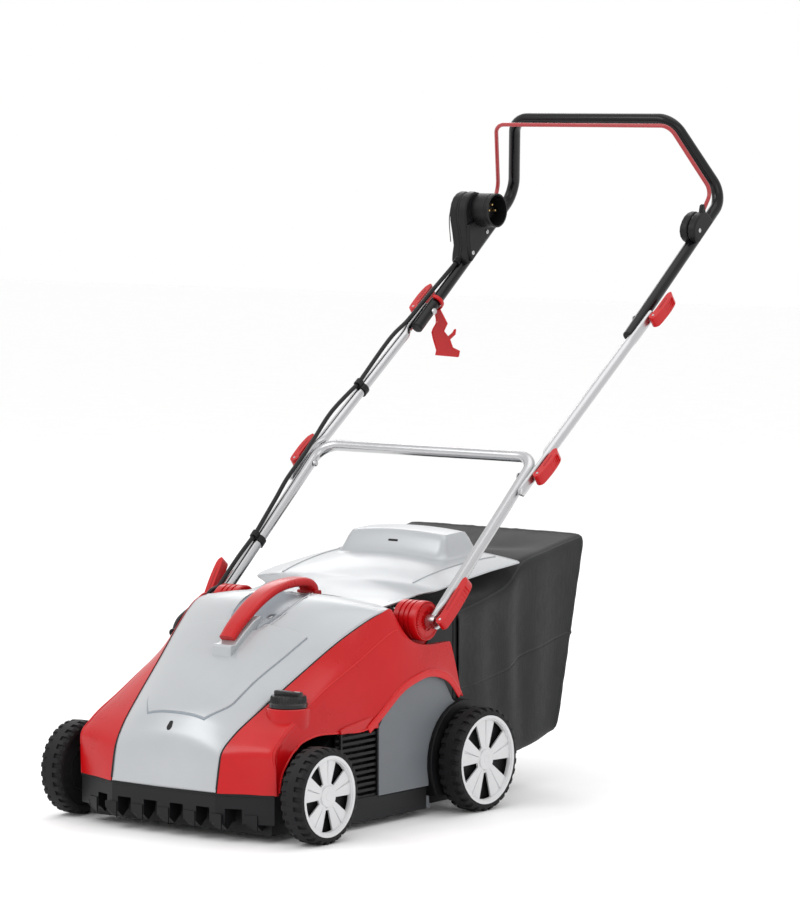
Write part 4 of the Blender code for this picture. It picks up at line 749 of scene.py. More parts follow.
def boss(side, sign):
    place = at(0, *PIVOT)
    x0, x1 = 0.172, INNER_X - TUBE_R - 0.0009
    profile = [(0.0035, x0), (PIVOT_R - 0.002, x0), (PIVOT_R, x0 + 0.002)]
    for g in (x0 + 0.012, x0 + 0.022, x0 + 0.032):
        profile += [(PIVOT_R, g), (PIVOT_R - 0.0022, g + 0.0008), (PIVOT_R - 0.0022, g + 0.003), (PIVOT_R, g + 0.0038)]
    profile += [(PIVOT_R, x1 - 0.005), (PIVOT_R - 0.0012, x1 - 0.002), (PIVOT_R - 0.003, x1 - 0.002),
                (PIVOT_R - 0.0038, x1 - 0.0036), (0.026, x1 - 0.0036), (0.026, x1 - 0.0015), (0.0165, x1 - 0.0015),
                (0.015, x1 - 0.0036), (0.012, x1 - 0.0036), (0.0115, x1), (0.0035, x1)]
    turned(f"boss_{side}", profile, place, "red", "housing", f"pivot_boss_{side}", steps=72, side=sign)
    # Radial teeth of the locking face, and six spokes between its rings.
    points, faces = [], []
    count = 36
    for k in range(count * 2):
        a = math.pi * k / count
        peak = x1 - (0.0002 if k % 2 else 0.0028)
        for r in (0.0262, 0.0303):
            points.append(place + Vector((sign * peak, r * math.cos(a), r * math.sin(a))))
            points.append(place + Vector((sign * (x1 - 0.0046), r * math.cos(a), r * math.sin(a))))
    for k in range(count * 2):
        a, b = k * 4, ((k + 1) % (count * 2)) * 4
        faces += [(a, b, b + 2, a + 2), (a + 1, a + 3, b + 3, b + 1), (a, a + 1, b + 1, b), (a + 2, b + 2, b + 3, a +
                                                                                             3)]
    dress(mesh_object(f"boss_teeth_{side}", points, faces, 15), "red", "housing")
    for k in range(6):
        a = math.radians(60 * k + 15)
        u = Vector((0, math.cos(a), math.sin(a)))
        v = Vector((0, -math.sin(a), math.cos(a)))
        slab(f"boss_spoke_{side}_{k}", [(0.0118, -0.0013), (0.0264, -0.0013), (0.0264, 0.0013), (0.0118, 0.0013)],
             place + Vector((sign * (x1 - 0.0026), 0, 0)), u, v, 0.003, "red", "housing", edge=0.0004)
    # The red web between the boss and the cover below it.
    web = [(0.304, 0.287), (0.375, 0.276), (0.398, 0.274), (0.39, 0.282), (0.364, 0.306), (0.338, 0.315),
           (0.312, 0.306)]
    side_slab(f"boss_web_{side}", web, sign * 0.186, 0.012, "red", "housing", edge=0.0015)
    # The fin is in the darker red: painted shade.
    fin = [(0.356, 0.283), (0.402, 0.275), (0.422, 0.212), (0.42, 0.205), (0.404, 0.26)]
    side_slab(f"boss_fin_{side}", fin, sign * 0.216, 0.006, "red_painted_shade", "housing", edge=0.0012)


both(boss)

# ---------------------------------------------------------------- handle tubes
def bolt(side, sign, kind, place, inside, outside, body):
    head = [(0.0001, inside - 0.0043), (0.004, inside - 0.0043), (0.0058, inside - 0.003), (0.0062, inside - 0.0006),
            (0.0029, inside - 0.0006), (0.0029, outside), (0.0001, outside)]
    turned(f"{kind}_bolt_skin_{side}", head, at(0, *place), "steel", body, f"{kind}_bolt_{side}", steps=32, side=sign)


both(lambda side, sign: bolt(side, sign, "mid", MID_JOINT, INNER_X - TUBE_R, 0.2575, "lower_section"))
both(lambda side, sign: bolt(side, sign, "upper", UPPER_JOINT, INNER_X - HANDLE_R, 0.2575, "mid_section"))
both(lambda side, sign: bolt(side, sign, "pivot", PIVOT, 0.1705, 0.245, "lower_section"))

frame_path = rounded([at(INNER_X, *PIVOT), at(INNER_X, *CROSSBAR), at(-INNER_X, *CROSSBAR), at(-INNER_X, *PIVOT)],
                     0.036, 12)
count = len(frame_path)
eye_run = 0.03


def eye_section(k, share):
    """The tube is pressed into a flat eye about each pivot."""
    d = min((frame_path[k] - frame_path[0]).length, (frame_path[k] - frame_path[-1]).length)
    flat = min(1.0, max(0.0, (d - 0.012) / eye_run))
    flat = flat * flat * (3 - 2 * flat)
    return [(u * (0.8 + 0.2 * flat), v * (1.22 - 0.22 * flat)) for u, v in circle(TUBE_R - 0.00005, 32)]


leg = []
for k in range(1, count):
    a, b = frame_path[k - 1], frame_path[k]
    parts = max(1, int((b - a).length / 0.008))
    leg += [a.lerp(b, j / parts) for j in range(parts)]
frame_path = leg + [frame_path[-1]]
dress(sweep("lower_frame_tube", frame_path, eye_section), "bare", "lower_section", "lower_frame")
for side, sign in SIDES:
    turned(f"lower_eye_{side}", [(0.0034, sign * 0.2255), (0.0125, sign * 0.2258), (0.0125, sign * 0.2432),
                                 (0.0034, sign * 0.2435)][::sign], at(0, *PIVOT), "bare", "lower_section", steps=40)


def mid_tube(side, sign):
    """Straight tube whose ends are pressed flat against the tubes they clamp."""
    low = along(MID_JOINT, MID_ANGLE, -TUBE_OVERHANG)
    total = math.dist(MID_JOINT, UPPER_JOINT) + TUBE_OVERHANG + UPPER_OVERHANG
    stations = 96
    path, ratio = [], []
    for k in range(stations + 1):
        s = total * k / stations
        d = min(s, total - s)
        round_share = min(1.0, max(0.0, min(s - 0.09, total - s - 0.068) / 0.026))
        round_share = round_share * round_share * (3 - 2 * round_share)
        flat_x = INNER_X + HANDLE_R + 0.0006 + PRESSED
        x = flat_x + (OUTER_X - flat_x) * round_share
        path.append(at(sign * x, *along(low, MID_ANGLE, s)))
        tip = min(1.0, d / 0.0085)
        ratio.append((PRESSED / TUBE_R + (1 - PRESSED / TUBE_R) * round_share,
                      (1.06 - 0.06 * round_share) * math.sqrt(max(0.02, 1 - (1 - tip) ** 2))))
    ring = circle(TUBE_R - 0.00005, 32)
    skin = sweep(f"mid_tube_skin_{side}", path,
                 lambda k, s: [(u * ratio[k][0] * 0.99, v * ratio[k][1] * 0.94) for u, v in ring])
    dress(skin, "bare", "mid_section", f"mid_tube_{side}")
    for k, d in enumerate((0.074, 0.086)):
        y, z = along(MID_JOINT, MID_ANGLE, d)
        turned(f"mid_pip_{side}_{k}", [(0.0001, 0.0), (0.0026, 0.0), (0.002, 0.0008), (0.0001, 0.001)][::sign],
               at(sign * (OUTER_X + 0.0094), y, z), "steel", "mid_section", steps=18)


both(mid_tube)

end = along(UPPER_JOINT, UPPER_ANGLE, -TUBE_OVERHANG)
handle_path = rounded([at(INNER_X, *end), at(INNER_X, *HANDLE_BEND), at(HANDLE_TOP_X, *HANDLE_TOP),
                       at(-HANDLE_TOP_X, *HANDLE_TOP), at(-INNER_X, *HANDLE_BEND), at(-INNER_X, *end)], 0.042, 14)
tube("upper_handle_tube", handle_path, HANDLE_R - 0.00005, "tube_black", "upper_section", "upper_handle", sides=36)
both(lambda side, sign: turned(f"handle_end_cap_{side}",
                               [(0.0001, -0.003), (0.0088, -0.003), (0.0106, -0.001), (0.0106, 0.0012),
                                (0.0001, 0.0012)], Vector((0, 0, 0)), "black", None, axis="Z", steps=32))
for side, sign in SIDES:
    cap = bpy.data.objects[f"handle_end_cap_{side}"]
    tilt = Matrix.Rotation(UPPER_ANGLE - math.pi / 2, 4, "X")
    cap.data.transform(Matrix.Translation(at(sign * INNER_X, *end)) @ tilt)
    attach(cap, "upper_section")


# ---------------------------------------------------------------- cam levers
def lever(side, sign, kind, place, x, length, angle, body, width=0.021, splay=0.0):
    hinge = 0.0085
    plan = arc((0.0, hinge), hinge - 0.0002, 315, 105, 18)
    upper = spline([(-0.0021, 0.0165, 0), (0.004, 0.0175, 0), (0.018, 0.0186, 0), (length * 0.55, 0.0189, 0),
                    (length - 0.01, 0.0164, 0), (length, 0.01, 0)], 6)[1:]
    lower = spline([(length, 0.01, 0), (length - 0.004, 0.0047, 0), (length * 0.75, 0.0037, 0),
                    (0.022, 0.0037, 0), (0.0062, 0.0027, 0)], 6)[1:-1]
    plan += [(p.x, p.y) for p in upper + lower]
    plan = [(u, sign * (x + v + splay * max(0.0, u))) for u, v in plan]
    ahead = Vector((0.0, math.cos(angle), math.sin(angle)))
    across = Vector((1.0, 0.0, 0.0))
    origin = at(0.0, *place)
    slab(f"{kind}_lever_skin_{side}", plan, origin, ahead, across, width, "red", body, f"{kind}_lever_{side}",
         edge=0.0026, segments=4)
    wide = ahead.cross(across).normalized()
    # Ridges on the arm's inner edge, a groove on each face, and the light pin through the head.
    for k in range(6):
        u = length * (0.42 + 0.075 * k)
        face = sign * (x + 0.0192 + splay * u)
        centre = origin + ahead * u + across * (face - sign * 0.001)
        # The ridges are in the lighter red: a painted highlight.
        ridge = [(-width * 0.36, -0.0006), (width * 0.36, -0.0006), (width * 0.36, 0.0006), (-width * 0.36, 0.0006)]
        slab(f"{kind}_lever_ridge_{side}_{k}", ridge, centre, wide, ahead, 0.0026, "red_painted_highlight", body, edge=0.0004)
    pin = origin + across * (sign * (x + hinge))
    ring = circle(0.0022, 20)
    path = [pin - wide * (width / 2 + 0.0004), pin + wide * (width / 2 + 0.0004)]
    dress(sweep(f"{kind}_lever_pin_{side}", path, lambda k, s: ring), "steel", body)
    # Thin strips in the darker red lie in the grooves on both faces of the arm: painted shade in the grooves.
    slot = [(0.02, sign * (x + 0.009 + splay * 0.02)), (length * 0.72, sign * (x + 0.0092 + splay * length * 0.72)),
            (length * 0.72, sign * (x + 0.0112 + splay * length * 0.72)), (0.02, sign * (x + 0.0118 + splay * 0.02))]
    for k, face in enumerate((-1, 1)):
        slab(f"{kind}_lever_groove_{side}_{k}", slot, origin + wide * (face * (width / 2 + 0.0001)), ahead, across,
             0.0006, "red_painted_shade", body, edge=0.0)


for side, sign in SIDES:
    outer = INNER_X + HANDLE_R + 0.0006 + 2 * PRESSED + 0.0008
    lever(side, sign, "mid", MID_JOINT, outer, CLAMP_LEVER, MID_ANGLE, f"mid_lever_{side}")
    lever(side, sign, "upper", UPPER_JOINT, outer, CLAMP_LEVER, MID_ANGLE, f"upper_lever_{side}")
    lever(side, sign, "pivot", PIVOT, INNER_X + TUBE_R + 0.0008, PIVOT_LEVER, math.radians(50), f"pivot_lever_{side}",
          0.019, 0.13)

# ---------------------------------------------------------------- catcher bag
def bag_profile():
    """Bottom and top lines of the bag: pairs of (y, z), front to rear."""
    low = spline([(0.4595, 0.059, 0), (0.52, 0.06, 0), (0.59, 0.063, 0), (0.65, 0.069, 0), (0.705, 0.08, 0),
                  (0.744, 0.093, 0)], 8)
    high = spline([(0.4595, 0.331, 0), (0.53, 0.345, 0), (0.606, 0.364, 0), (0.662, 0.402, 0), (0.74, 0.418, 0),
                   (0.829, 0.4335, 0)], 8)
    return [((a.x, a.y), (b.x, b.y)) for a, b in zip(low, high)]


def rounded_box_ring(count, corner):
    """(u, h) points of a rounded rectangle: u from -1 to 1 across and h from 0 to 1 up."""
    ring = []
    for k in range(count):
        a = 2 * math.pi * (k + 0.5) / count
        c, s = math.cos(a), math.sin(a)
        scale = (abs(c) ** corner + abs(s) ** corner) ** (-1 / corner)
        ring.append((c * scale, 0.5 + 0.5 * s * scale))
    return ring


def bag_sag(x, h, s, u):
    """How far the cloth falls in from its seams, with folds that run down the sides."""
    wall = math.sin(math.pi * min(1.0, max(0.0, s))) ** 0.5
    fold = 0.5 + 0.5 * math.sin(s * 23.0 + 0.9 * math.sin(h * 3.1) + 1.6 * noise.noise(Vector((s * 3, h * 1.6, u))))
    slow = 0.5 + 0.5 * noise.noise(Vector((s * 3.1 + u, h * 2.6, 1.7)))
    fine = noise.noise(Vector((s * 22, h * 14, u * 3))) * 0.0006
    return wall * (0.0016 + 0.0052 * fold * (0.35 + 0.65 * math.sin(math.pi * h)) + 0.003 * slow) + fine


lines = bag_profile()
RING = rounded_box_ring(220, 26.0)
rings = []
for k, ((yl, zl), (yh, zh)) in enumerate(lines):
    s = k / (len(lines) - 1)
    ring = []
    for u, h in RING:
        side = abs(u) > 0.93
        inward = bag_sag(u, h, s, math.copysign(1, u)) * (1.0 if side else 0.0)
        drop = bag_sag(u, abs(u), s, 5.0 + h) * (0.0 if side else 1.0) * (1 - abs(u) ** 4)
        sink = drop * (0.9 if h > 0.5 else -0.5)
        y, z = yl + (yh - yl) * h, zl + (zh - zl) * h - sink
        if h > 0.5:
            # The top is crowned so that it meets the flap that lies on it.
            z += (2 * h - 1) ** 4 * 0.021 * (1 - u * u) * math.exp(-((y - 0.63) / 0.05) ** 2)
        ring.append(at(u * (0.1965 - inward), y, z))
    rings.append(ring)
last = rings[-1]
centre = sum(last, Vector((0, 0, 0))) / len(last)
lean = (Vector((0, 0.436 - 0.092, -(0.828 - 0.744)))).normalized()
for share in (0.985, 0.95, 0.88, 0.78, 0.66, 0.54, 0.42, 0.3, 0.18, 0.08, 0.002):
    ring = []
    for p in last:
        q = centre + (p - centre) * share
        pull = (1 - share ** 2)
        dent = noise.noise(Vector((q.x * 9, q.z * 7, 4.2))) * 0.0045 * pull
        folds = 0.0024 * math.sin(q.x * 62 + 3 * noise.noise(Vector((q.x * 5, q.z * 5, 9)))) * min(1.0, 3 * pull)
        ring.append(q + lean * (-0.0012 + 0.0008 * pull + dent * 0.5 - abs(folds)))
    rings.append(ring)
bag_rows = [ring + ring[:1] for ring in rings]
bag = grid("bag_cloth", bag_rows, 0.0016, angle=60)
dress(bag, "fabric", "catcher", "catcher_bag")


def seam(name, points, radius=0.0021):
    tube(name, points, radius, "webbing", "catcher", sides=10)


for tag, (cu, ch) in (("top_right", (1, 1)), ("top_left", (-1, 1)), ("low_right", (1, 0)), ("low_left", (-1, 0))):
    best = min(range(len(RING)), key=lambda j: (RING[j][0] - cu) ** 2 + (2 * (RING[j][1] - ch)) ** 2)
    seam(f"bag_seam_{tag}", [rings[k][best] for k in range(len(lines))])
seam("bag_seam_rear", last + last[:1])
front_ring = [rings[1][j] + Vector((0, 0.004, 0)) for j in range(len(RING))]
seam("bag_hem", front_ring + front_ring[:1], 0.0017)
yoke = [rings[18][j] + Vector((0, 0, 0.0004)) for j in range(len(RING)) if RING[j][1] > 0.985]
seam("bag_top_stitch", sorted(yoke, key=lambda p: p.x), 0.0012)


# ---------------------------------------------------------------- wheels
def tyre(name, sign, axle, radius, seat, body):
    middle, half = sign * (TRACK_HALF - TYRE_WIDE / 2), TYRE_WIDE / 2
    lugs = 30
    place = at(middle, *axle)
    # Across the tyre: place from the inner side (-1) to the outer one (1), and depth below the tread.
    across = [(-1.0, 0.013), (-1.0, 0.006), (-0.93, 0.0026), (-0.8, 0.0004), (-0.36, 0.0), (-0.34, 0.0), (0.34, 0.0),
              (0.36, 0.0), (0.8, 0.0004), (0.93, 0.0026), (1.0, 0.006), (1.0, 0.013)]
    cut_deep = [0.0, 0.001, 0.0034, 0.0036, 0.0032, 0.0, 0.0, 0.0032, 0.0036, 0.0034, 0.001, 0.0]
    turns = [(0.0, 1), (0.05, 0), (0.2, 0), (0.36, 0), (0.52, 0), (0.57, 1), (0.78, 1)]
    points, faces = [], []
    rows = lugs * len(turns)
    for lug in range(lugs):
        for part, notch in turns:
            for j, (w, deep) in enumerate(across):
                shift = 0.5 if w < 0 else 0.0
                a = 2 * math.pi * (lug + part + shift + 0.1 * (abs(w) - 0.6)) / lugs
                r = radius - deep - cut_deep[j] * notch
                points.append(place + Vector((sign * w * half, r * math.cos(a), r * math.sin(a))))
    n = len(across)
    for k in range(rows):
        m = (k + 1) % rows
        for j in range(n - 1):
            faces.append((k * n + j, k * n + j + 1, m * n + j + 1, m * n + j))
    tread = mesh_object(f"tyre_tread_{name}", points, faces, 28)
    dress(tread, "rubber", body, f"tyre_{name}")
    wall = [(radius - 0.0125, half), (radius - 0.0145, half - 0.0008), (seat + 0.0022, half - 0.0014),
            (seat + 0.0008, half - 0.0026), (seat + 0.0004, half - 0.006), (seat + 0.0004, -half + 0.006),
            (seat + 0.001, -half + 0.002), (radius - 0.0145, -half + 0.001), (radius - 0.0125, -half),
            (radius - 0.016, -half + 0.004), (radius - 0.016, half - 0.004)]
    turned(f"tyre_wall_{name}", wall, place, "rubber", body, steps=96, side=sign)
    # The smooth band round the tyre wall is real; its lighter grey is painted sheen.
    band = [(radius - 0.0128, half), (radius - 0.01, half - 0.0006), (radius - 0.0086, half - 0.0022),
            (radius - 0.014, half - 0.003)]
    turned(f"tyre_band_{name}", band, place, "rubber_painted_sheen", body, steps=96, side=sign)


def rim(name, sign, axle, seat, body):
    middle, half = sign * (TRACK_HALF - TYRE_WIDE / 2), TYRE_WIDE / 2
    place = at(middle, *axle)
    face = half - 0.004
    inner, outer = 0.0225, seat - 0.0088

    def window(r):
        share = min(1.0, max(0.0, (r - inner) / (outer - inner)))
        return math.asin(min(0.9, (0.004 + (outer * 0.245 - 0.004) * share) / max(r, inner)))

    radii = [0.006, 0.01, 0.016, 0.0172, 0.019, 0.0205, inner]
    radii += [inner + (outer - inner) * k / 6 for k in range(1, 7)]
    radii += [outer + 0.0008, seat - 0.0072, seat - 0.0062, seat - 0.005, seat - 0.003, seat - 0.0008]
    spoke = [-1.0, -0.82, -0.5, -0.13, -0.07, 0.07, 0.13, 0.5, 0.82, 1.0]

    def depth(r, t, window_part):
        if r < 0.0165:
            return face + (0.0 if r > 0.009 else -0.0012)
        if r > seat - 0.0058:
            return face + 0.003
        if r > seat - 0.0075:
            return face + 0.0008
        crown = 0.0016 * (1 - min(1.0, abs(t)) ** 2) if not window_part else 0.0
        groove = 0.0022 if abs(t) < 0.1 and 0.0215 < r < outer + 0.001 and not window_part else 0.0
        return face - 0.003 + crown - groove

    points, faces = [], []
    columns = []
    for k in range(5):
        columns += [(k, t, False) for t in spoke] + [(k, t, True) for t in (0.25, 0.5, 0.75)]
    for r in radii:
        w = window(r)
        free = math.radians(36) - w
        for k, t, is_window in columns:
            mid = math.radians(90 + 72 * k)
            a = mid + (free + 2 * w * t if is_window else free * t)
            d = depth(r, t, is_window)
            points.append(place + Vector((sign * d, r * math.cos(a), r * math.sin(a))))
    n = len(columns)
    for i in range(len(radii) - 1):
        open_row = inner - 1e-6 <= radii[i] and radii[i + 1] <= outer + 1e-6
        for j in range(n):
            m = (j + 1) % n
            gap = open_row and (columns[j][2] or columns[m][2])
            if not gap:
                faces.append((i * n + j, i * n + m, (i + 1) * n + m, (i + 1) * n + j))
    plate = mesh_object(f"rim_face_{name}", points, faces, 30)
    mod = plate.modifiers.new("Solidify", "SOLIDIFY")
    mod.thickness = 0.0035
    mod.offset = 0.0
    bevel(plate, 0.0005, 2, 50)
    dress(plate, "rim", body, f"rim_{name}")
    barrel = [(seat - 0.0003, face + 0.0032), (seat - 0.0003, -half + 0.003), (seat - 0.0032, -half + 0.003),
              (seat - 0.0032, face + 0.0032)]
    turned(f"rim_barrel_{name}", barrel, place, "rim", body, steps=80, side=sign)
    # A black disc behind the rim's face, seen through its windows, a black inner face and a black hub: painted shade
    # inside the wheel.
    back = [(0.0053, face - 0.013), (seat - 0.0034, face - 0.013), (seat - 0.0034, face - 0.015),
            (0.0053, face - 0.015)]
    turned(f"rim_back_{name}", back, place, "rim_painted_shade", body, steps=64, side=sign)
    inner_face = [(0.0053, -half + 0.0032), (0.015, -half + 0.0032), (0.015, -half + 0.007),
                  (seat * 0.55, -half + 0.007), (seat * 0.55, -half + 0.004), (seat * 0.6, -half + 0.004),
                  (seat * 0.6, -half + 0.007), (seat - 0.0034, -half + 0.007), (seat - 0.0034, -half + 0.01),
                  (0.0053, -half + 0.01)]
    turned(f"rim_inner_{name}", inner_face, place, "rim_painted_shade", body, steps=64, side=sign)
    hub = [(0.0053, face - 0.012), (0.011, face - 0.012), (0.011, -half + 0.005), (0.0053, -half + 0.005)]
    turned(f"rim_hub_{name}", hub, place, "rim_painted_shade", body, steps=32, side=sign)
    cap = [(0.0001, face + 0.0012), (0.0062, face + 0.0012), (0.0072, face + 0.0004), (0.0072, face - 0.005),
           (0.0001, face - 0.005)]
    turned(f"rim_cap_{name}", cap, place, "rim", body, steps=40, side=sign)


for side, sign in SIDES:
    for end_name, axle, radius, seat_r in (("front", FRONT_AXLE, 0.079, 0.0674), ("rear", REAR_AXLE, 0.088, 0.0762)):
        wheel = f"{end_name}_{side}"
        tyre(wheel, sign, axle, radius, seat_r, f"wheel_{wheel}")
        rim(wheel, sign, axle, seat_r, f"wheel_{wheel}")

# ---------------------------------------------------------------- controls at the grip
box_outline = handle_outline((0.128, 0.002), (0.128, 0.012), (0.138, 0.0215), (0.15, 0.031), (0.16, 0.05), (0.171,
                                                                                                            0.074),
                             (0.181, 0.089), (0.193, 0.0975), (0.205, 0.1015), (0.217, 0.101), (0.229, 0.096), (0.238,
                                                                                                                0.086),
                             (0.244, 0.07), (0.249, 0.055), (0.257, 0.043), (0.264, 0.034), (0.267, 0.022), (0.268,
                                                                                                             0.002))
for name, x, depth in (("switch_shell_outer", -0.244, 0.0185), ("switch_shell_inner", -0.2245, 0.0185)):
    side_slab(name, box_outline, x, depth, "black", "upper_section", edge=0.0045, segments=5)
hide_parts("switch_box")
core = []
middle_y = sum(p[0] for p in box_outline) / len(box_outline)
middle_z = sum(p[1] for p in box_outline) / len(box_outline)
for y, z in box_outline:
    core.append((middle_y + (y - middle_y) * 0.975, middle_z + (z - middle_z) * 0.975))
side_slab("switch_seam", core, -0.2343, 0.004, "gap", "upper_section", edge=0.001)
rib_path = [at(-0.2535, y, z) for y, z in handle_outline((0.15, 0.04), (0.175, 0.078), (0.205, 0.092), (0.232, 0.08),
                                                         (0.242, 0.052))]
tube("switch_rib", spline(rib_path, 8), 0.0009, "black_gloss", "upper_section", sides=8)
shroud = [(0.0285, -0.178), (0.0315, -0.178), (0.0315, -0.183), (0.0306, -0.1845), (0.0306, -0.187),
          (0.0315, -0.1885), (0.0315, -0.216), (0.0285, -0.216)]
turned("plug_shroud", shroud, at(0, *PLUG), "black", "upper_section", steps=64)
turned("plug_floor", [(0.0001, -0.2165), (0.029, -0.2165), (0.029, -0.212), (0.0001, -0.212)], at(0, *PLUG),
       "black", "upper_section", steps=48)
core_plug = [(0.0001, -0.213), (0.0175, -0.213), (0.0175, -0.199), (0.0165, -0.198), (0.0001, -0.198)]
turned("plug_core", core_plug, at(0, *PLUG), "black_gloss", "upper_section", steps=40)
for k, (dy, dz) in enumerate(((-0.0095, 0.0), (0.0095, 0.0), (0.0, 0.0105))):
    pin = [(0.0001, -0.199), (0.0023, -0.199), (0.0023, -0.1905), (0.0015, -0.189), (0.0001, -0.189)]
    turned(f"plug_pin_{k}", pin, at(0, PLUG[0] + dy, PLUG[1] + dz), "brass", "upper_section", steps=20)
bracket = handle_outline((0.134, 0.006), (0.138, 0.02), (0.168, 0.066), (0.2, 0.054), (0.212, 0.012))
side_slab("shroud_bracket", bracket, -0.213, 0.006, "black", "upper_section", edge=0.0018)
for k, (d, lift) in enumerate(((0.146, 0.018), (0.204, 0.02), (0.25, 0.022))):
    y, z = on_handle(d, lift)
    turned(f"switch_screw_{k}", [(0.0001, -0.2105), (0.004, -0.2105), (0.004, -0.209), (0.003, -0.2082),
                                 (0.0012, -0.2082), (0.0012, -0.2092), (0.0001, -0.2092)], at(0.0, y, z), "steel",
           "upper_section", steps=24)
turned("lock_button_skin", [(0.0001, -0.25), (0.0069, -0.25), (0.0069, -0.256), (0.0062, -0.257),
                            (0.003, -0.2568), (0.0001, -0.2563)][::-1], at(0, *LOCK), "red", "lock_button",
       "lock_button", steps=40)
turned("lock_collar", [(0.0073, -0.2528), (0.0094, -0.2528), (0.009, -0.2546), (0.0076, -0.2546)], at(0, *LOCK),
       "black_gloss", "upper_section", steps=40)
sleeve = [at(-INNER_X, *on_handle(0.118 + 0.01 * k / 6, 0.015)) for k in range(9)]
tube("cable_gland", sleeve, 0.0062, "black", "upper_section", sides=20)
for k in range(4):
    y, z = on_handle(0.1185 + 0.0028 * k, 0.015)
    ring_path = [at(-INNER_X, y, z), at(-INNER_X, *on_handle(0.1198 + 0.0028 * k, 0.015))]
    tube(f"cable_gland_ring_{k}", ring_path, 0.007, "black", "upper_section", sides=20)

pivot_outline = handle_outline((0.208, 0.002), (0.204, 0.011), (0.203, 0.02), (0.207, 0.03), (0.214, 0.036), (0.225,
                                                                                                              0.04),
                               (0.236, 0.0415), (0.248, 0.039), (0.258, 0.034), (0.264, 0.026), (0.266, 0.016), (0.266,
                                                                                                                 0.002))
for name, x, depth in (("pivot_shell_outer", 0.2452, 0.016), ("pivot_shell_inner", 0.2278, 0.016)):
    side_slab(name, pivot_outline, x, depth, "black", "upper_section", edge=0.0038, segments=5)
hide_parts("bail_pivot_box")
side_slab("pivot_core", handle_outline((0.212, 0.004), (0.208, 0.02), (0.216, 0.033), (0.236, 0.0385), (0.254, 0.032),
                                       (0.262, 0.016), (0.262, 0.004)), 0.2365, 0.004, "gap", "upper_section",
          edge=0.001)
horn = handle_outline((0.246, 0.03), (0.262, 0.028), (0.268, 0.044), (0.262, 0.046), (0.254, 0.04))
side_slab("pivot_horn", horn, 0.246, 0.008, "black", "upper_section", edge=0.002)
y, z = on_handle(0.222, 0.02)
turned("pivot_screw", [(0.0001, 0.253), (0.004, 0.253), (0.004, 0.254), (0.003, 0.2546), (0.0001, 0.2546)][::-1],
       at(0, y, z), "steel", "upper_section", steps=24)

bail_right = [at(INNER_X + 0.0145, *BAIL_PIVOT), at(INNER_X, *BAIL_PIVOT), at(0.2385, 1.171, 1.035),
              at(0.193, 1.101, 1.1535)]
bail_left = [Vector((-p.x, p.y, p.z)) for p in reversed(bail_right)]
tube("bail_rod", rounded(bail_right + bail_left, 0.026, 12), 0.00375, "rod_red", "bail", "bail", sides=24)

# ---------------------------------------------------------------- relief hook
HOOK = [(-0.005, -0.0135), (-0.0035, -0.0386), (-0.0216, -0.0589), (-0.0178, -0.0945), (-0.0225, -0.1045),
        (0.0309, -0.1065), (0.0358, -0.0944), (0.0208, -0.0884), (0.0177, -0.0733), (0.032, -0.063),
        (0.0358, -0.0525), (0.033, -0.051), (0.027, -0.058), (0.0143, -0.0667), (0.0072, -0.0574),
        (0.0185, -0.0423), (0.007, -0.0135)]
hook_y, hook_z = on_handle(HOOK_PLACE, 0.0)
hook_centre = at(-INNER_X, hook_y, hook_z)
lean = Matrix.Rotation(math.radians(HOOK_LEAN), 3, "X")
slab("hook_plate", HOOK, hook_centre, (1, 0, 0), lean @ Vector((0, 0, 1)), 0.005, "red", "relief_hook",
     "relief_hook", edge=0.0018, segments=4)
band_outline = arc((0.0, 0.0), HANDLE_R + 0.0055, -84, 100, 36) + arc((0.0, 0.0), HANDLE_R + 0.001, 100, -84, 36)
tilt = Matrix.Rotation(UPPER_ANGLE - math.pi / 2, 3, "X")
slab("hook_band", band_outline, hook_centre, (1, 0, 0), tilt @ Vector((0, 1, 0)), 0.007, "red", "relief_hook",
     edge=0.001)
# The rib is in the lighter red: a painted highlight.
hook_rib = [(-0.0038, -0.021), (-0.005, -0.0395), (-0.0185, -0.0595), (-0.0155, -0.093)]
rib = spline([hook_centre + lean @ Vector((x, -0.0026, z)) for x, z in hook_rib], 8)
tube("hook_rib", rib, 0.0011, "red_painted_highlight", "relief_hook", sides=10)


# ---------------------------------------------------------------- cable and its clips
def cable(name, points, body_a, body_b, start, end, *nodes):
    skin = sweep(name, spline(points, 10), lambda k, s: circle(CABLE_R - 0.0001, 20))
    dress(skin, "cable", None, *nodes)
    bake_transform(skin)


high_turn, low_turn = (UPPER_ANGLE + MID_ANGLE) / 2, (MID_ANGLE + LOWER_ANGLE) / 2
top_route = [lifted(along(UPPER_JOINT, UPPER_ANGLE, 0.1275), UPPER_ANGLE, CABLE_LIFT, -INNER_X),
             lifted(along(UPPER_JOINT, UPPER_ANGLE, 0.09), UPPER_ANGLE, CABLE_LIFT, -0.238), lifted(along(UPPER_JOINT,
                                                                                                          UPPER_ANGLE,
                                                                                                          0.05),
                                                                                                    UPPER_ANGLE,
                                                                                                    CABLE_LIFT, -0.242),
             lifted(along(UPPER_JOINT, high_turn, 0.0), high_turn, CABLE_LIFT, -0.246), lifted(along(UPPER_JOINT,
                                                                                                     MID_ANGLE, -0.05),
                                                                                               MID_ANGLE, CABLE_LIFT,
                                                                                               -0.248),
             lifted(along(UPPER_JOINT, MID_ANGLE, -0.11), MID_ANGLE, 0.02, -0.25), lifted(along(MID_JOINT, MID_ANGLE,
                                                                                                0.206), MID_ANGLE,
                                                                                          CABLE_LIFT, -OUTER_X)]
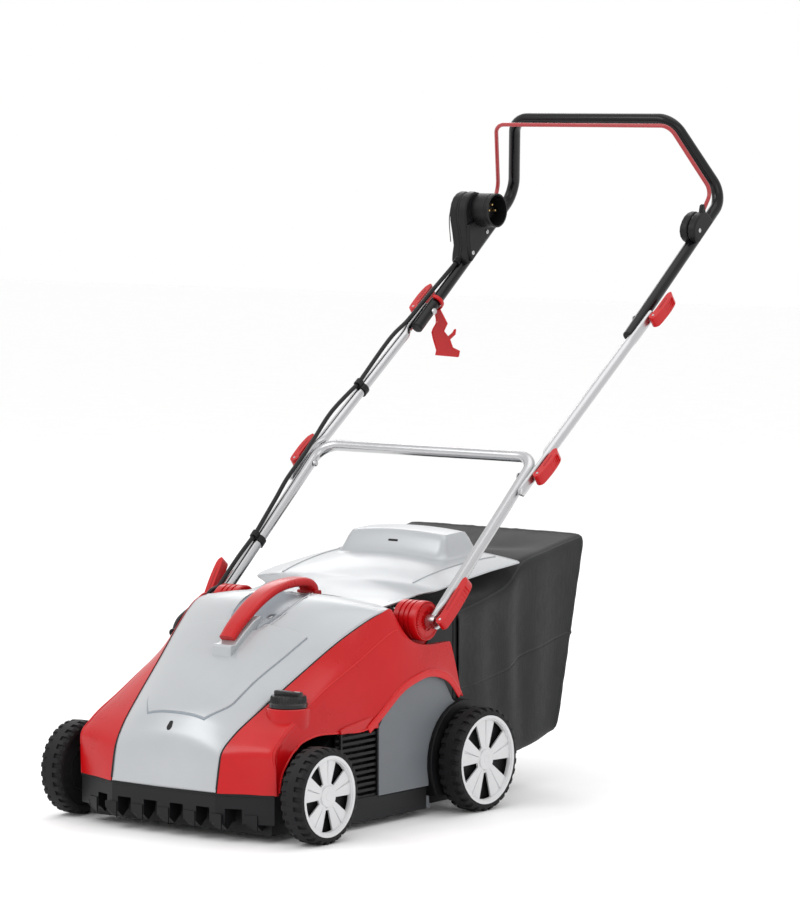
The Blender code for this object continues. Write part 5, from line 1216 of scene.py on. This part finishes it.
mid_route = [top_route[-1], lifted(along(MID_JOINT, MID_ANGLE, 0.12), MID_ANGLE, 0.021, -0.251), lifted(along(MID_JOINT,
                                                                                                              MID_ANGLE,
                                                                                                              0.05),
                                                                                                        MID_ANGLE,
                                                                                                        0.017, -0.248),
             lifted(along(MID_JOINT, low_turn, 0.0), low_turn, CABLE_LIFT, -0.244), lifted(along(MID_JOINT, LOWER_ANGLE,
                                                                                                 -0.06), LOWER_ANGLE,
                                                                                           0.019, -0.242),
             lifted(along(MID_JOINT, LOWER_ANGLE, -0.11), LOWER_ANGLE, 0.0175, -0.239), lifted(along(PIVOT, LOWER_ANGLE,
                                                                                                     0.15), LOWER_ANGLE,
                                                                                               CABLE_LIFT, -INNER_X)]
low_route = [mid_route[-1],
             lifted(along(PIVOT, LOWER_ANGLE, 0.1), LOWER_ANGLE, 0.0185, -INNER_X),
             lifted(along(PIVOT, LOWER_ANGLE, 0.06), LOWER_ANGLE, 0.019, -INNER_X),
             lifted(along(PIVOT, LOWER_ANGLE, 0.034), LOWER_ANGLE, 0.0185, -INNER_X),
             lifted(along(PIVOT, LOWER_ANGLE, 0.02), LOWER_ANGLE, 0.0185, -0.235),
             at(-0.237, 0.325, 0.351), at(-0.238, 0.31, 0.341), at(-0.237, 0.288, 0.332),
             at(-0.234, 0.262, 0.324), at(-0.227, 0.222, 0.3085), at(-0.2125, 0.19, 0.285)]
cable("cable_top", top_route, "upper_section", "mid_section", top_route[2], top_route[4], "cable_upper")
cable("cable_mid", mid_route, "mid_section", "lower_section", mid_route[2], mid_route[4], "cable_middle")
cable("cable_low", low_route, "lower_section", "housing", low_route[1], low_route[6], "cable_lower", "cable_inlet")
for end_name in ("upper", "lower"):
    dress(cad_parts[f"cable_clip_{end_name}"], "black")
grommet = [(0.0042, -0.004), (0.0078, -0.004), (0.0082, -0.001), (0.006, 0.003), (0.0042, 0.004)]
turned("cable_grommet", grommet, Vector((0, 0, 0)), "black", None, axis="Z", steps=28)
inlet = bpy.data.objects["cable_grommet"]
toward = (low_route[-2] - low_route[-1]).to_track_quat("Z", "Y").to_matrix().to_4x4()
inlet.data.transform(Matrix.Translation(low_route[-1].lerp(low_route[-2], 0.28)) @ toward)
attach(inlet, "housing")

# ---------------------------------------------------------------- floor, lights and camera
bpy.ops.mesh.primitive_plane_add(size=30, location=(0, 0, 0))
floor = bpy.context.object
floor.name = "floor"
floor.data.materials.append(surface("floor_paper", (0.985, 0.985, 0.985), 0.7, grain=300, bump=0.02, vary=0.01))


def softbox(name, place, target, size, power):
    light = bpy.data.lights.new(name, "AREA")
    light.shape = "RECTANGLE"
    light.size, light.size_y = size
    light.energy = power
    obj = bpy.data.objects.new(name, light)
    bpy.context.scene.collection.objects.link(obj)
    obj.location = place
    obj.rotation_euler = (Vector(target) - Vector(place)).to_track_quat("-Z", "Y").to_euler()


# Name, place, point aimed at, size and power of each light.
LIGHTS = (("key", (-1.6, -3.0, 3.6), (0, 0, 0.4), (2.4, 2.0), 46),
          ("fill", (3.6, -1.6, 2.2), (0, 0, 0.4), (2.6, 2.2), 16),
          ("top", (0.4, 1.0, 4.2), (0, 0, 0.3), (3.2, 3.2), 26),
          ("rim_light", (-2.6, 2.6, 2.6), (0, 0.1, 0.6), (1.8, 1.8), 22))
for given in LIGHTS:
    softbox(*given)
world = bpy.data.worlds.new("studio")
bpy.context.scene.world = world
world.use_nodes = True
world.node_tree.nodes["Background"].inputs["Color"].default_value = (1.0, 1.0, 1.0, 1.0)
world.node_tree.nodes["Background"].inputs["Strength"].default_value = 1.0

LENS, CAMERA_PLACE = 203.6, (4.7538, -6.26475, 1.2255)
view = bpy.data.cameras.new("photo_camera")
view.lens, view.sensor_width, view.sensor_fit = LENS, 36.0, "HORIZONTAL"
camera = bpy.data.objects.new("photo_camera", view)
bpy.context.scene.collection.objects.link(camera)
right, up, back = Vector((0.7961, 0.6051, 0.0009)), Vector((-0.0493, 0.0633, 0.9968)), Vector((0.6031, -0.7936, 0.0803))
back.normalize()
right = (right - back * right.dot(back)).normalized()
up = back.cross(right)
turn = Matrix((right, up, back)).transposed().to_4x4()
camera.matrix_world = Matrix.Translation(CAMERA_PLACE) @ turn
bpy.context.scene.camera = camera
bpy.context.scene.view_settings.view_transform = "Standard"
